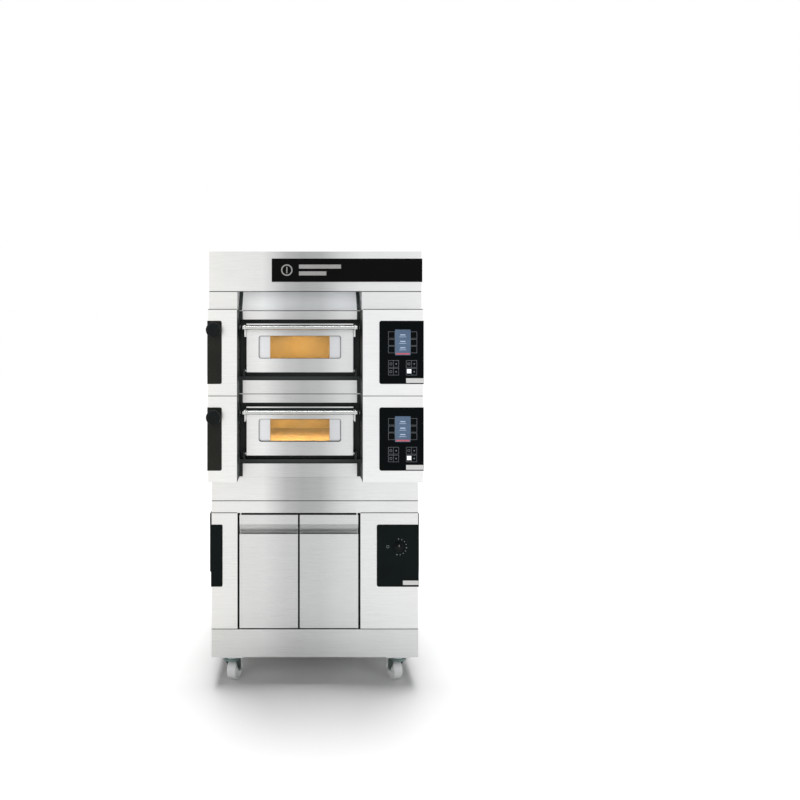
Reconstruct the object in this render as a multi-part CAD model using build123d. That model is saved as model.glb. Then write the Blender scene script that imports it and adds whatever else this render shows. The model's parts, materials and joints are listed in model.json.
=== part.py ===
from build123d import *
import os

# Free-standing modular deck oven, in millimetres. The front faces -Y and +Z is up.
# The origin is on the floor, in the middle of the outer box.

# ---- overall sizes ----
width = 1000.0
body_depth = 900.0
post_depth = 125.0
knob_reach = 50.0
gland_reach = 20.0
caster_height = 138.0
plinth_height = 136.0
prover_opening_height = 563.0
rail_height = 58.0
spacer_height = 116.0
deck_height = 403.0
hood_mouth_height = 85.0
fascia_height = 189.0
hood_setback = 42.0

# ---- sheet metal and fits ----
sheet = 2.0
panel_thickness = 3.0
seam = 1.5
running_fit = 0.06
seat_gap = 0.3

# ---- posts ----
left_post_width = 135.0
right_post_width = 280.0
hood_left_post_width = 132.0
prover_left_post_width = 125.0
edge_strip = 16.0
edge_strip_setback = 6.0

# ---- black trim on the posts ----
left_fascia_width = 64.0
control_width = 203.0
trim_bottom = 55.0
trim_height = 294.0
left_trim_radius = 8.0
control_radius = 10.0
display_width = 72.0
display_height = 119.0
display_left = 72.5
display_bottom = 189.0
display_thickness = 0.8
side_cover_thickness = 20.0
side_cover_setback = 78.0
side_cover_length = 584.0
side_cover_radius = 8.0
side_cover_slots = 6
side_cover_slot_margin = 60.0
side_cover_slot_share = 0.4

# ---- backs of the modules ----
back_slots = 6
back_slot_margin = 60.0
back_slot_share = 0.35
gland_inset = 120.0
gland_height = 60.0
gland_radius = 12.0
gland_nut_radius = 17.0
gland_nut_depth = 8.0
gland_bore = 7.0
gland_hole_radius = 9.0

# ---- baking decks ----
recess_foot_height = 65.0
recess_head_height = 43.0
flange_setback = 50.0
hinge_rail_height = 19.0
door_width = 519.0
door_height = 237.0
door_hem_slope = 12.0
door_hem_lip = 6.0
door_hem_depth = 7.0
door_bottom = 103.0
door_skin_depth = 14.0
door_inner_depth = 33.5
door_edge_radius = 3.0
door_inner_margin = 5.0
door_wall = 3.0
window_width = 399.0
window_height = 110.5
window_bottom = 170.5
window_radius = 12.0
glass_width = 290.0
glass_thickness = 4.0
glass_inset = 1.0
hinge_depth = 20.5
hinge_height = 8.0
hinge_pin_radius = 5.0
hinge_ear_gap = 7.0
hinge_ear_width = 10.0
handle_radius = 10.0
handle_wall = 2.0
handle_length = 543.0
handle_height = 318.0
handle_setback = 60.0
handle_bush_length = 10.0
handle_bush_radius = 12.0
handle_cap_length = 6.0
handle_arm_width = 5.0
handle_arm_rim = 2.0
handle_arm_bottom = 275.0
handle_arm_top = 330.0
chamber_width = 510.0
chamber_depth = 630.0
chamber_floor = 113.0
chamber_ceiling = 300.0
mouth_bottom = 128.0
hearth_rest = 14.0
hearth_rest_width = 10.0
hearth_rest_inset = 7.0
hearth_thickness = 20.0
hearth_clearance = 2.0
wool_thickness = 70.0
wool_cap = 50.0
rod_radius = 4.0
rod_count = 6
rod_pitch = 76.0
rod_front_gap = 22.0
rod_below_ceiling = 8.0
rod_above_floor = 5.0
lamp_radius = 22.0
lamp_depth = 6.0
lamp_setback = 62.0
lamp_below_ceiling = 30.0

# ---- steam valve ----
steam_knob_radius = 34.0
steam_knob_edge = 3.0
steam_knob_thickness = 22.0
steam_neck_radius = 14.0
steam_knob_inset = 30.0
steam_knob_height = 306.0
steam_rod_radius = 6.0
steam_neck_gap = 2.0
valve_radius = 24.0
valve_thickness = 3.0
valve_port_radius = 18.0
duct_width = 54.0
duct_depth = 60.0
duct_bottom = 200.0
duct_top = 396.0
duct_setback = 40.0
duct_stub_height = 80.0

# ---- hood ----
hood_lip = 18.0
deflector_top = 58.0
deflector_run = 105.0
filter_thickness = 20.0
filter_slats = 9
filter_frame_width = 18.0
filter_slat_setback = 4.0
sign_left = 295.0
sign_bottom = 46.0
sign_height = 109.5
sign_thickness = 4.0
sign_return = 60.0
flue_radius = 75.0
flue_wall = 3.0
flue_height = 58.0
flue_flange_radius = 95.0
flue_setback = 512.0
motor_radius = 40.0
motor_height = 60.0
motor_plate = 160.0
motor_leg = 8.0
motor_end_wall = 10.0
fan_radius = 64.0
fan_blades = 8
fan_height = 28.0
fan_shaft_radius = 4.0
fan_shaft_end_gap = 2.0
fan_hub_radius = 14.0
fan_blade_length = 38.0
fan_blade_centre = 36.0
fan_blade_turn = 35.0
fan_motor_gap = 6.0
fan_top_gap = 22.0

# ---- prover ----
prover_door_left_gap = 10.0
prover_door_right_gap = 11.0
prover_door_centre_gap = 9.0
prover_door_top_gap = 10.0
prover_door_bottom_gap = 5.0
prover_door_thickness = 30.0
prover_door_foot = 16.0
prover_right_edge = 279.0
grip_top = 55.0
grip_height = 48.0
grip_depth = 20.0
grip_lip = 2.5
grip_undercut = 18.0
grip_slope_foot = 6.0
prover_pin_radius = 4.0
prover_pin_inset = 5.0
prover_pin_setback = 10.5
prover_trim_bottom = 206.0
prover_trim_height = 300.0
prover_left_fascia_width = 53.0
prover_control_width = 200.0
prover_cover_bottom = 250.0
prover_cover_height = 288.0
thermostat_radius = 22.5
thermostat_depth = 18.0
thermostat_edge = 1.5
thermostat_inset = 95.0
thermostat_height = 399.0
thermostat_shaft_radius = 3.0
thermostat_box = 40.0
thermostat_box_depth = 30.0
thermostat_shaft_end_gap = 4.0
runner_count = 7
runner_pitch = 62.0
runner_first = 95.0
runner_width = 22.0
runner_length = 740.0
runner_leg = 14.0
runner_setback = 25.0
liner_back_gap = 32.0
brace_width = 40.0
prover_heater_span = 420.0
prover_heater_setback = 30.0
prover_heater_height = 25.0
prover_heater_pitch = 20.0
heater_bracket_reach = 12.0
heater_bracket_height = 60.0
pan_width = 300.0
pan_depth = 180.0
pan_height = 45.0
pan_setback = 60.0

# ---- casters ----
caster_inset = 95.0
caster_front_setback = 44.0
caster_rear_setback = 76.0
caster_turn = 18.0
caster_trail = 32.0
wheel_radius = 50.0
wheel_width = 46.0
wheel_edge_radius = 5.0
axle_radius = 6.0
caster_plate_width = 115.0
caster_plate_depth = 85.0
caster_plate_thickness = 5.0
race_radius = 36.0
race_height = 8.0
crown_radius = 46.0
crown_thickness = 9.0
kingpin_radius = 6.0
fork_gap = 2.0
fork_leg_thickness = 4.0
fork_leg_depth = 44.0
fork_shoulder = 36.8
fork_eye = 10.0
pedal_width = 30.0
pedal_length = 37.0
pedal_thickness = 4.0
pedal_hook = 14.0
pedal_pin_radius = 3.0
pedal_pin_gap = 3.0
pedal_crown_gap = 1.0
pedal_ear_width = 4.0

# ---- places that follow from the sizes ----
total_depth = knob_reach + post_depth + body_depth + gland_reach
left = -width / 2
right = width / 2
front = knob_reach - total_depth / 2
face = front + post_depth
rear = face + body_depth
flange = face + flange_setback
hood_front = front + hood_setback
trim_back = face + side_cover_setback - sheet

gland_x = right - gland_inset

gap_left = left + left_post_width
gap_right = right - right_post_width
gap_centre = (gap_left + gap_right) / 2

plinth_z = caster_height
prover_z = plinth_z + plinth_height
rail_z = prover_z + prover_opening_height
spacer_z = rail_z + rail_height
lower_z = spacer_z + spacer_height
upper_z = lower_z + deck_height
hood_z = upper_z + deck_height
fascia_z = hood_z + hood_mouth_height
top_z = fascia_z + fascia_height
decks = {"upper": upper_z, "lower": lower_z}

hole_extra = 1.0


def block(x0, x1, y0, y1, z0, z1):
    """Box between two corners."""
    middle = Pos((x0 + x1) / 2, (y0 + y1) / 2, (z0 + z1) / 2)
    return middle * Box(x1 - x0, y1 - y0, z1 - z0)


def rod_x(x0, x1, y, z, radius):
    """Round bar along X."""
    return Pos((x0 + x1) / 2, y, z) * Rot(0, 90, 0) * Cylinder(radius, x1 - x0)


def rod_y(x, y0, y1, z, radius):
    """Round bar along Y."""
    return Pos(x, (y0 + y1) / 2, z) * Rot(90, 0, 0) * Cylinder(radius, y1 - y0)


def rod_z(x, y, z0, z1, radius):
    """Round bar along Z."""
    return Pos(x, y, (z0 + z1) / 2) * Cylinder(radius, z1 - z0)


def rounded_y(plate, radius, side=None):
    """Rounds a plate's corners seen from the front: all of them, or the left or right pair."""
    edges = plate.edges().filter_by(Axis.Y)
    if side == "left":
        edges = edges.group_by(Axis.X)[0]
    if side == "right":
        edges = edges.group_by(Axis.X)[-1]
    return fillet(edges, radius)


def save(name, *pieces):
    """Writes one node, each piece in it a separate solid."""
    solids = [solid for piece in pieces for solid in piece.solids()]
    export_step(Compound(solids) if len(solids) > 1 else solids[0], f"parts/{name}.step")


def louvred_back(back, z0, z1):
    """Cuts a column of level slots and the cable hole through a module's back sheet."""
    pitch = (z1 - z0) / (2 * back_slots + 2)
    x0 = right - right_post_width + sheet
    x1 = right - back_slot_margin
    y0 = rear - sheet - hole_extra
    y1 = rear + hole_extra
    for row in range(back_slots):
        z = (z0 + z1) / 2 + (row - back_slots / 2) * pitch
        back -= block(x0, x1, y0, y1, z, z + pitch * back_slot_share)
    return back - rod_y(gland_x, y0, y1, z0 + gland_height, gland_hole_radius)


# ---- shells of the modules ----
def module_box(z0, z1, first_y, with_floor=True, slots=True):
    """Side, back, floor and roof sheets of one module, as separate panels."""
    back = block(left + sheet, right - sheet, rear - sheet, rear, z0 + sheet, z1 - sheet)
    if slots:
        back = louvred_back(back, z0, z1)
    panels = [
        block(left, left + sheet, first_y, rear, z0, z1),
        block(right - sheet, right, first_y, rear, z0, z1),
        back,
        block(left + sheet, right - sheet, first_y, rear, z1 - sheet, z1),
    ]
    if with_floor:
        panels.append(block(left + sheet, right - sheet, first_y, rear, z0, z0 + sheet))
    return panels


def post(x0, x1, z0, y0, y1):
    """Folded post: closed to the front, the sides, top and bottom, open to the rear."""
    z1 = z0 + deck_height - seam
    outside = block(x0, x1, y0, y1, z0, z1)
    return outside - block(x0 + sheet, x1 - sheet, y0 + sheet, y1 + hole_extra, z0 + sheet, z1 - sheet)


def left_trim(strip_width, y, z0, height):
    """Black trim that wraps the left front corner."""
    outer_x = left - panel_thickness
    plate = block(outer_x, left + strip_width, y - panel_thickness, y, z0, z0 + height)
    plate = rounded_y(plate, left_trim_radius, "right")
    return plate + block(outer_x, left, y - panel_thickness, trim_back, z0, z0 + height)


def right_trim(strip_width, y, z0, height):
    """Black glass that wraps the right front corner."""
    outer_x = right + panel_thickness
    plate = block(right - strip_width, outer_x, y - panel_thickness, y, z0, z0 + height)
    plate = rounded_y(plate, control_radius, "left")
    return plate + block(right, outer_x, y - panel_thickness, trim_back, z0, z0 + height)


def side_cover(side, z0, height):
    """Slotted tray screwed to the flank of a module."""
    inner_x = right if side > 0 else left
    outer_x = inner_x + side * side_cover_thickness
    y0 = face + side_cover_setback
    y1 = y0 + side_cover_length
    low, high = min(inner_x, outer_x), max(inner_x, outer_x)
    cover = block(low, high, y0, y1, z0, z0 + height)
    outer_edges = cover.edges().filter_by(Axis.Z).sort_by(lambda edge: side * edge.center().X)[-2:]
    cover = fillet(outer_edges, side_cover_radius)
    pocket_low, pocket_high = sorted((inner_x - side * hole_extra, outer_x - side * sheet))
    cover -= block(pocket_low, pocket_high, y0 + sheet * 2, y1 - sheet * 2, z0 + sheet, z0 + height - sheet)
    slot_y0 = y0 + side_cover_slot_margin
    slot_y1 = y1 - side_cover_slot_margin
    pitch = height / (2 * side_cover_slots + 2)
    for row in range(side_cover_slots):
        z = z0 + height / 2 + (row - side_cover_slots / 2) * pitch
        slot_z = z + pitch * side_cover_slot_share
        cover -= block(low - hole_extra, high + hole_extra, slot_y0, slot_y1, z, slot_z)
    return cover


# ---- baking deck ----
hinge_y = face + hinge_depth
door_left = gap_centre - door_width / 2
door_right = gap_centre + door_width / 2
chamber_left = gap_centre - chamber_width / 2
chamber_right = gap_centre + chamber_width / 2
chamber_back = flange + sheet + chamber_depth
knob_x = left + steam_knob_inset
duct_y = flange + duct_setback
trims = []
displays = []
wool = []
lamps = []
heaters = []
covers = []


def mouth_strips(x0, x1):
    """Middle panel of a recess and the narrow strip set back at each side of it."""
    return (
        (x0, x0 + edge_strip, edge_strip_setback),
        (x0 + edge_strip, x1 - edge_strip, 0),
        (x1 - edge_strip, x1, edge_strip_setback),
    )


def deck_front(z0):
    """Recessed front between the posts: foot and head panels, sill, cheeks and hinge rail."""
    foot_top = z0 + recess_foot_height
    head_bottom = z0 + deck_height - recess_head_height
    head_top = z0 + deck_height
    pieces = []
    for x0, x1, setback in mouth_strips(gap_left, gap_right):
        y0 = face + setback
        y1 = y0 + sheet
        stop = sheet if setback else 0
        pieces.append(block(x0, x1, y0, y1, z0 + stop, foot_top))
        pieces.append(block(x0, x1, y0, y1, head_bottom, head_top - max(stop, seam)))
        pieces.append(block(x0, x1, y1, flange, foot_top - sheet, foot_top))
        pieces.append(block(x0, x1, y1, flange, head_bottom, head_bottom + sheet))
    pieces.append(block(gap_left - sheet, gap_left, face, flange, z0 + sheet, head_bottom + sheet))
    pieces.append(block(gap_right, gap_right + sheet, face, flange, z0 + sheet, head_bottom + sheet))
    rail_top = foot_top + hinge_rail_height
    rail_front = face + edge_strip_setback + sheet
    pieces.append(block(gap_left, gap_right, rail_front, flange, foot_top, rail_top))
    return pieces + hinge_ears(z0, rail_top)


def hinge_ears(z0, rail_top):
    """Drilled ears on the hinge rail, one at each end of the door."""
    hinge_z = z0 + door_bottom + hinge_height
    half = hinge_pin_radius * 2
    ears = []
    for side, edge in ((-1, door_left), (1, door_right)):
        near = edge + side * hinge_ear_gap
        x0, x1 = sorted((near, near + side * hinge_ear_width))
        ear = block(x0, x1, hinge_y - half, hinge_y + half, rail_top, hinge_z + half)
        hole_radius = hinge_pin_radius + running_fit
        ears.append(ear - rod_x(x0 - hole_extra, x1 + hole_extra, hinge_y, hinge_z, hole_radius))
    return ears


def chamber(z0):
    """Steel baking chamber with its mouth flange, hearth rests and steam duct."""
    low = z0 + chamber_floor
    high = z0 + chamber_ceiling
    start = flange + sheet
    foot_top = z0 + recess_foot_height
    head_bottom = z0 + deck_height - recess_head_height
    pieces = [
        block(chamber_left - sheet, chamber_left, start, chamber_back + sheet, low - sheet, high + sheet),
        block(chamber_right, chamber_right + sheet, start, chamber_back + sheet, low - sheet, high + sheet),
        block(chamber_left, chamber_right, start, chamber_back, low - sheet, low),
        block(chamber_left, chamber_right, start, chamber_back, high, high + sheet),
        block(chamber_left, chamber_right, chamber_back, chamber_back + sheet, low - sheet, high + sheet),
        block(gap_left, chamber_left, flange, start, foot_top, head_bottom),
        block(chamber_right, gap_right, flange, start, foot_top, head_bottom),
        block(chamber_left, chamber_right, flange, start, foot_top, z0 + mouth_bottom),
        block(chamber_left, chamber_right, flange, start, high, head_bottom),
    ]
    rest_xs = (
        chamber_left + hearth_rest_inset,
        gap_centre - hearth_rest_width / 2,
        chamber_right - hearth_rest_inset - hearth_rest_width,
    )
    for x in rest_xs:
        pieces.append(block(x, x + hearth_rest_width, start, chamber_back, low, low + hearth_rest))
    pieces.append(steam_duct(z0))
    return pieces


def duct_stub(z0):
    x1 = chamber_left - sheet
    x0 = knob_x + duct_width / 2
    return block(x0, x1, duct_y, duct_y + duct_depth, z0 + duct_bottom, z0 + duct_bottom + duct_stub_height)


def steam_duct(z0):
    """Duct that takes steam up from the chamber, with the valve's port in its front."""
    x0 = knob_x - duct_width / 2
    x1 = knob_x + duct_width / 2
    y1 = duct_y + duct_depth
    low = z0 + duct_bottom
    high = z0 + duct_top
    duct = block(x0, x1, duct_y, y1, low, high)
    duct -= block(x0 + sheet, x1 - sheet, duct_y + sheet, y1 - sheet, low + sheet, high + hole_extra)
    duct -= rod_y(knob_x, duct_y - hole_extra, duct_y + 2 * sheet, z0 + steam_knob_height, valve_port_radius)
    return duct + duct_stub(z0)


def insulation(z0):
    """Mineral wool slabs on every side of the chamber but the mouth."""
    start = flange + sheet
    low = z0 + chamber_floor - sheet
    high = z0 + chamber_ceiling + sheet
    back = chamber_back + sheet
    left_x = chamber_left - sheet
    right_x = chamber_right + sheet
    outer_left = max(left_x - wool_thickness, left + sheet)
    outer_right = right_x + wool_thickness
    left_slab = block(outer_left, left_x, start, back, low, high) - duct_stub(z0)
    return [
        left_slab,
        block(right_x, outer_right, start, back, low, high),
        block(outer_left, outer_right, start, back + wool_thickness, high, high + wool_cap),
        block(outer_left, outer_right, start, back + wool_thickness, low - wool_cap, low),
        block(outer_left, outer_right, back, back + wool_thickness, low, high),
    ]


def heating(z0):
    """Tubular elements under the roof and under the hearth stone."""
    start = flange + sheet + rod_front_gap
    rods = []
    for index in range(rod_count):
        x = gap_centre + (index - (rod_count - 1) / 2) * rod_pitch
        for z in (z0 + chamber_ceiling - rod_below_ceiling, z0 + chamber_floor + rod_above_floor):
            rods.append(rod_y(x, start, chamber_back, z, rod_radius))
    return rods


def hemmed(x0, x1, y0, y1, z0, z1, slope_end):
    """Block whose upper front corner slopes back to an upright lip."""
    lip_y = y0 + door_hem_depth
    with BuildSketch(Plane.YZ) as profile:
        with BuildLine():
            Polyline(
                (y0, z0), (y0, slope_end - door_hem_slope), (lip_y, slope_end), (lip_y, z1),
                (y1, z1), (y1, z0), close=True,
            )
        make_face()
    return Pos(x0, 0, 0) * extrude(profile.sketch, x1 - x0)


def door_skin(z0):
    """Outer door pan with its window cut, hemmed top and a softened front edge."""
    low = z0 + door_bottom
    high = low + door_height
    back = face + door_skin_depth
    slope_end = high - door_hem_lip
    skin = hemmed(door_left, door_right, face, back, low, high, slope_end)
    skin = fillet(skin.faces().sort_by(Axis.Y)[0].edges(), door_edge_radius)
    rim_left = gap_centre - window_width / 2
    rim_right = gap_centre + window_width / 2
    rim_low = z0 + window_bottom
    rim_high = rim_low + window_height
    pocket_left = door_left + door_wall
    pocket_right = door_right - door_wall
    pocket_back = back + hole_extra
    wall = door_wall
    inner_end = slope_end - wall / 2
    pocket = hemmed(pocket_left, pocket_right, face + wall, pocket_back, low + wall, high - wall, inner_end)
    rim = block(rim_left - wall, rim_right + wall, face, back, rim_low - wall, rim_high + wall)
    pocket -= rounded_y(rim, window_radius + wall)
    window = block(rim_left, rim_right, face - hole_extra, back + hole_extra, rim_low, rim_high)
    return skin - pocket - rounded_y(window, window_radius)


def door_core(z0):
    """Inner door pan: bezel round the glass, hollow sides, closed back and hinge pins."""
    y0 = face + door_skin_depth
    y1 = y0 + door_inner_depth
    x0 = door_left + door_inner_margin
    x1 = door_right - door_inner_margin
    low = z0 + door_bottom + door_inner_margin
    high = z0 + door_bottom + door_height - door_inner_margin
    core = block(x0, x1, y0, y1, low, high)
    rim_left = gap_centre - window_width / 2 - door_wall
    rim_right = gap_centre + window_width / 2 + door_wall
    glass_low = z0 + window_bottom
    glass_high = glass_low + window_height
    floor_y = y1 - door_wall
    hollows = (
        (x0 + door_wall, x1 - door_wall, glass_high + door_wall, high - door_wall),
        (x0 + door_wall, x1 - door_wall, low + door_wall + 2 * hinge_pin_radius, glass_low - door_wall),
        (x0 + door_wall, rim_left, glass_low, glass_high),
        (rim_right, x1 - door_wall, glass_low, glass_high),
    )
    for hollow_left, hollow_right, hollow_low, hollow_high in hollows:
        core -= block(hollow_left, hollow_right, y0 - hole_extra, floor_y, hollow_low, hollow_high)
    glass_left = gap_centre - glass_width / 2
    glass_right = gap_centre + glass_width / 2
    core -= block(glass_left, glass_right, y0 - hole_extra, y1 + hole_extra, glass_low, glass_high)
    hinge_z = z0 + door_bottom + hinge_height
    reach = hinge_ear_gap + hinge_ear_width
    core += rod_x(door_left - reach, x0 + door_wall, hinge_y, hinge_z, hinge_pin_radius)
    core += rod_x(x1 - door_wall, door_right + reach, hinge_y, hinge_z, hinge_pin_radius)
    return core


def door_panes(z0):
    """Two glass panes with an air gap."""
    x0 = gap_centre - glass_width / 2
    x1 = gap_centre + glass_width / 2
    y0 = face + door_skin_depth + glass_inset
    y1 = face + door_skin_depth + door_inner_depth - glass_inset - glass_thickness
    low = z0 + window_bottom
    high = low + window_height
    return [block(x0, x1, y, y + glass_thickness, low, high) for y in (y0, y1)]


def door_handle(z0):
    """Tubular bar with end bushes and caps, on two flat arms."""
    y = front + handle_setback
    z = z0 + handle_height
    x0 = gap_centre - handle_length / 2
    x1 = gap_centre + handle_length / 2
    bar = rod_x(x0, x1, y, z, handle_radius)
    bar -= rod_x(x0 - hole_extra, x1 + hole_extra, y, z, handle_radius - handle_wall)
    pieces = [bar]
    arm_front = y - handle_radius - handle_arm_rim
    arm_back = face + door_skin_depth + door_inner_depth / 2
    arm_low = z0 + handle_arm_bottom
    arm_high = z0 + handle_arm_top
    for side, edge, end in ((-1, door_left, x0), (1, door_right, x1)):
        arm_x0, arm_x1 = sorted((edge, edge + side * handle_arm_width))
        arm = block(arm_x0, arm_x1, arm_front, arm_back, arm_low, arm_high)
        arm -= rod_x(arm_x0 - hole_extra, arm_x1 + hole_extra, y, z, handle_radius + running_fit)
        bush_x0, bush_x1 = sorted((end, end + side * handle_bush_length))
        bush = rod_x(bush_x0, bush_x1, y, z, handle_bush_radius)
        cap_start = end + side * handle_bush_length
        cap_x0, cap_x1 = sorted((cap_start, cap_start + side * handle_cap_length))
        pieces += [arm, bush, rod_x(cap_x0, cap_x1, y, z, handle_radius)]
    return pieces


def steam_knob(z0):
    """Pull knob with its rod and the valve disc at the rod's end."""
    z = z0 + steam_knob_height
    grip_front = front - knob_reach
    grip_back = grip_front + steam_knob_thickness
    neck_back = front - panel_thickness - steam_neck_gap
    knob = fillet(rod_y(knob_x, grip_front, grip_back, z, steam_knob_radius).edges(), steam_knob_edge)
    knob += rod_y(knob_x, grip_back, neck_back, z, steam_neck_radius)
    disc_back = duct_y - seat_gap
    knob += rod_y(knob_x, neck_back, disc_back, z, steam_rod_radius)
    return knob + rod_y(knob_x, disc_back - valve_thickness, disc_back, z, valve_radius)


for name, z0 in decks.items():
    save(f"{name}_casing", *module_box(z0, z0 + deck_height, face + sheet))
    save(f"{name}_front_panels", *deck_front(z0))

    hole_y0 = front - panel_thickness - hole_extra
    hole_y1 = front + sheet + hole_extra
    rod_hole = rod_y(knob_x, hole_y0, hole_y1, z0 + steam_knob_height, steam_rod_radius + running_fit)
    save(f"{name}_left_post", post(left, gap_left, z0, front, face) - rod_hole)
    save(f"{name}_right_post", post(gap_right, right, z0, front, face))

    trims.append(left_trim(left_fascia_width, front, z0 + trim_bottom, trim_height) - rod_hole)
    save(f"{name}_control_panel", right_trim(control_width, front, z0 + trim_bottom, trim_height))
    x0 = right - control_width + display_left
    y1 = front - panel_thickness
    low = z0 + display_bottom
    displays.append(block(x0, x0 + display_width, y1 - display_thickness, y1, low, low + display_height))

    save(f"{name}_baking_chamber", *chamber(z0))
    stone_z = z0 + chamber_floor + hearth_rest
    stone_left = chamber_left + hearth_clearance
    stone_right = chamber_right - hearth_clearance
    stone_front = flange + sheet + hearth_clearance
    stone_back = chamber_back - hearth_clearance
    stone = block(stone_left, stone_right, stone_front, stone_back, stone_z, stone_z + hearth_thickness)
    save(f"{name}_hearth_stone", stone)

    save(f"{name}_door_panel", door_skin(z0))
    save(f"{name}_door_inner", door_core(z0))
    save(f"{name}_door_glass", *door_panes(z0))
    save(f"{name}_door_handle", *door_handle(z0))
    save(f"{name}_steam_knob", steam_knob(z0))

    wool += insulation(z0)
    heaters += heating(z0)
    lamp_y = flange + sheet + lamp_setback
    lamp_z = z0 + chamber_ceiling - lamp_below_ceiling
    lamps.append(rod_x(chamber_right - lamp_depth, chamber_right, lamp_y, lamp_z, lamp_radius))
    covers += [side_cover(side, z0 + trim_bottom, trim_height) for side in (-1, 1)]

save("control_displays", *displays)
save("insulation_wool", *wool)
save("heating_elements", *heaters)
save("chamber_lamps", *lamps)

# ---- spacer between the prover and the decks ----
spacer = module_box(spacer_z, lower_z, face + sheet, with_floor=False, slots=False)
spacer.append(block(left, right, face, face + sheet, spacer_z, lower_z - seam))
save("spacer_base", *spacer)

# ---- hood ----
mouth_left = left + hood_left_post_width
mouth_right = gap_right
filter_y = face + deflector_run
flue_y = hood_front + flue_setback


def hood_shell():
    roof = block(left + sheet, right - sheet, hood_front + sheet, rear, top_z - sheet, top_z)
    roof -= rod_z(0, flue_y, top_z - sheet - hole_extra, top_z + hole_extra, flue_radius - flue_wall)
    inner_end = filter_y + filter_thickness
    lip_z = fascia_z + sheet
    back_y = hood_front + sheet
    return [
        roof,
        block(left, left + sheet, back_y, rear, hood_z, top_z),
        block(right - sheet, right, back_y, rear, hood_z, top_z),
        block(left + sheet, right - sheet, rear - sheet, rear, hood_z, top_z - sheet),
        block(left, right, hood_front, back_y, fascia_z, top_z),
        block(mouth_left, mouth_right, back_y, back_y + hood_lip, fascia_z, lip_z),
        block(left, mouth_left, hood_front, back_y, hood_z, fascia_z - seam),
        block(mouth_right, right, hood_front, back_y, hood_z, fascia_z - seam),
        block(mouth_left - sheet, mouth_left, back_y, inner_end, hood_z, top_z - sheet),
        block(mouth_right, mouth_right + sheet, back_y, inner_end, hood_z, top_z - sheet),
    ]


def deflector():
    """Sloping back plate of the hood's mouth, deeper at its top, with a step at each side."""
    high = fascia_z + deflector_top
    pieces = []
    for x0, x1, setback in mouth_strips(mouth_left, mouth_right):
        foot = face + setback
        head = filter_y - sheet * 2
        with BuildSketch(Plane.YZ) as profile:
            with BuildLine():
                corners = ((foot, hood_z), (foot + sheet, hood_z), (head + sheet, high), (head, high))
                Polyline(*corners, close=True)
            make_face()
        pieces.append(Pos(x0, 0, 0) * extrude(profile.sketch, x1 - x0))
    return pieces


def baffle_filter():
    """Grease and steam filter: a frame with upright slats."""
    low = fascia_z + deflector_top
    high = top_z - sheet
    inner_left = mouth_left + filter_frame_width
    inner_right = mouth_right - filter_frame_width
    inner_low = low + filter_frame_width
    inner_high = high - filter_frame_width
    y1 = filter_y + filter_thickness
    pieces = [
        block(mouth_left, mouth_right, filter_y, y1, low, inner_low),
        block(mouth_left, mouth_right, filter_y, y1, inner_high, high),
        block(mouth_left, inner_left, filter_y, y1, inner_low, inner_high),
        block(inner_right, mouth_right, filter_y, y1, inner_low, inner_high),
    ]
    slat_y0 = filter_y + filter_slat_setback
    slat_y1 = y1 - filter_slat_setback
    pitch = (inner_right - inner_left) / (filter_slats + 1)
    for index in range(filter_slats):
        x = inner_left + (index + 1) * pitch
        pieces.append(block(x - pitch / 4, x + pitch / 4, slat_y0, slat_y1, inner_low, inner_high))
    return pieces


def sign_band():
    """Plain black band on the fascia that wraps the right corner."""
    low = fascia_z + sign_bottom
    high = low + sign_height
    band = block(left + sign_left, right + sign_thickness, hood_front - sign_thickness, hood_front, low, high)
    return band + block(right, right + sign_thickness, hood_front, hood_front + sign_return, low, high)


def flue_collar():
    """Round spigot for the flue pipe, with its flange on the roof."""
    high = top_z + sheet + flue_height
    collar = rod_z(0, flue_y, top_z, top_z + sheet, flue_flange_radius)
    collar += rod_z(0, flue_y, top_z, high, flue_radius)
    return collar - rod_z(0, flue_y, top_z - hole_extra, high + hole_extra, flue_radius - flue_wall)


fan_low = top_z - sheet - fan_top_gap - fan_height
motor_top = fan_low - fan_motor_gap
motor_low = motor_top - motor_height


def fan_motor():
    """Motor under the flue, on a plate that hangs from the roof by four legs."""
    body = rod_z(0, flue_y, motor_low, motor_top, motor_radius)
    bore_low = motor_low + motor_end_wall
    body -= rod_z(0, flue_y, bore_low, motor_top + hole_extra, fan_shaft_radius + running_fit)
    half = motor_plate / 2
    plate = block(-half, half, flue_y - half, flue_y + half, motor_low - panel_thickness, motor_low)
    pieces = [body, plate]
    for side_x in (-1, 1):
        for side_y in (-1, 1):
            x0, x1 = sorted((side_x * half, side_x * (half - motor_leg)))
            y0, y1 = sorted((flue_y + side_y * half, flue_y + side_y * (half - motor_leg)))
            pieces.append(block(x0, x1, y0, y1, motor_low, top_z - sheet))
    return pieces


def fan_wheel():
    """Impeller: back plate, hub, shaft and upright blades."""
    impeller = rod_z(0, flue_y, fan_low, fan_low + sheet, fan_radius)
    impeller += rod_z(0, flue_y, fan_low, fan_low + fan_height, fan_hub_radius)
    shaft_low = motor_low + motor_end_wall + fan_shaft_end_gap
    impeller += rod_z(0, flue_y, shaft_low, fan_low, fan_shaft_radius)
    root = Pos(fan_blade_centre, 0, fan_low + fan_height / 2) * Rot(0, 0, fan_blade_turn)
    for index in range(fan_blades):
        turn = Pos(0, flue_y, 0) * Rot(0, 0, index * 360 / fan_blades)
        impeller += turn * root * Box(fan_blade_length, sheet, fan_height)
    return impeller


save("hood_shell", *hood_shell())
save("hood_deflector", *deflector())
save("hood_filter", *baffle_filter())
save("hood_sign_band", sign_band())
save("hood_flue_collar", flue_collar())
save("hood_fan_motor", *fan_motor())
save("hood_fan_impeller", fan_wheel())

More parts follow.
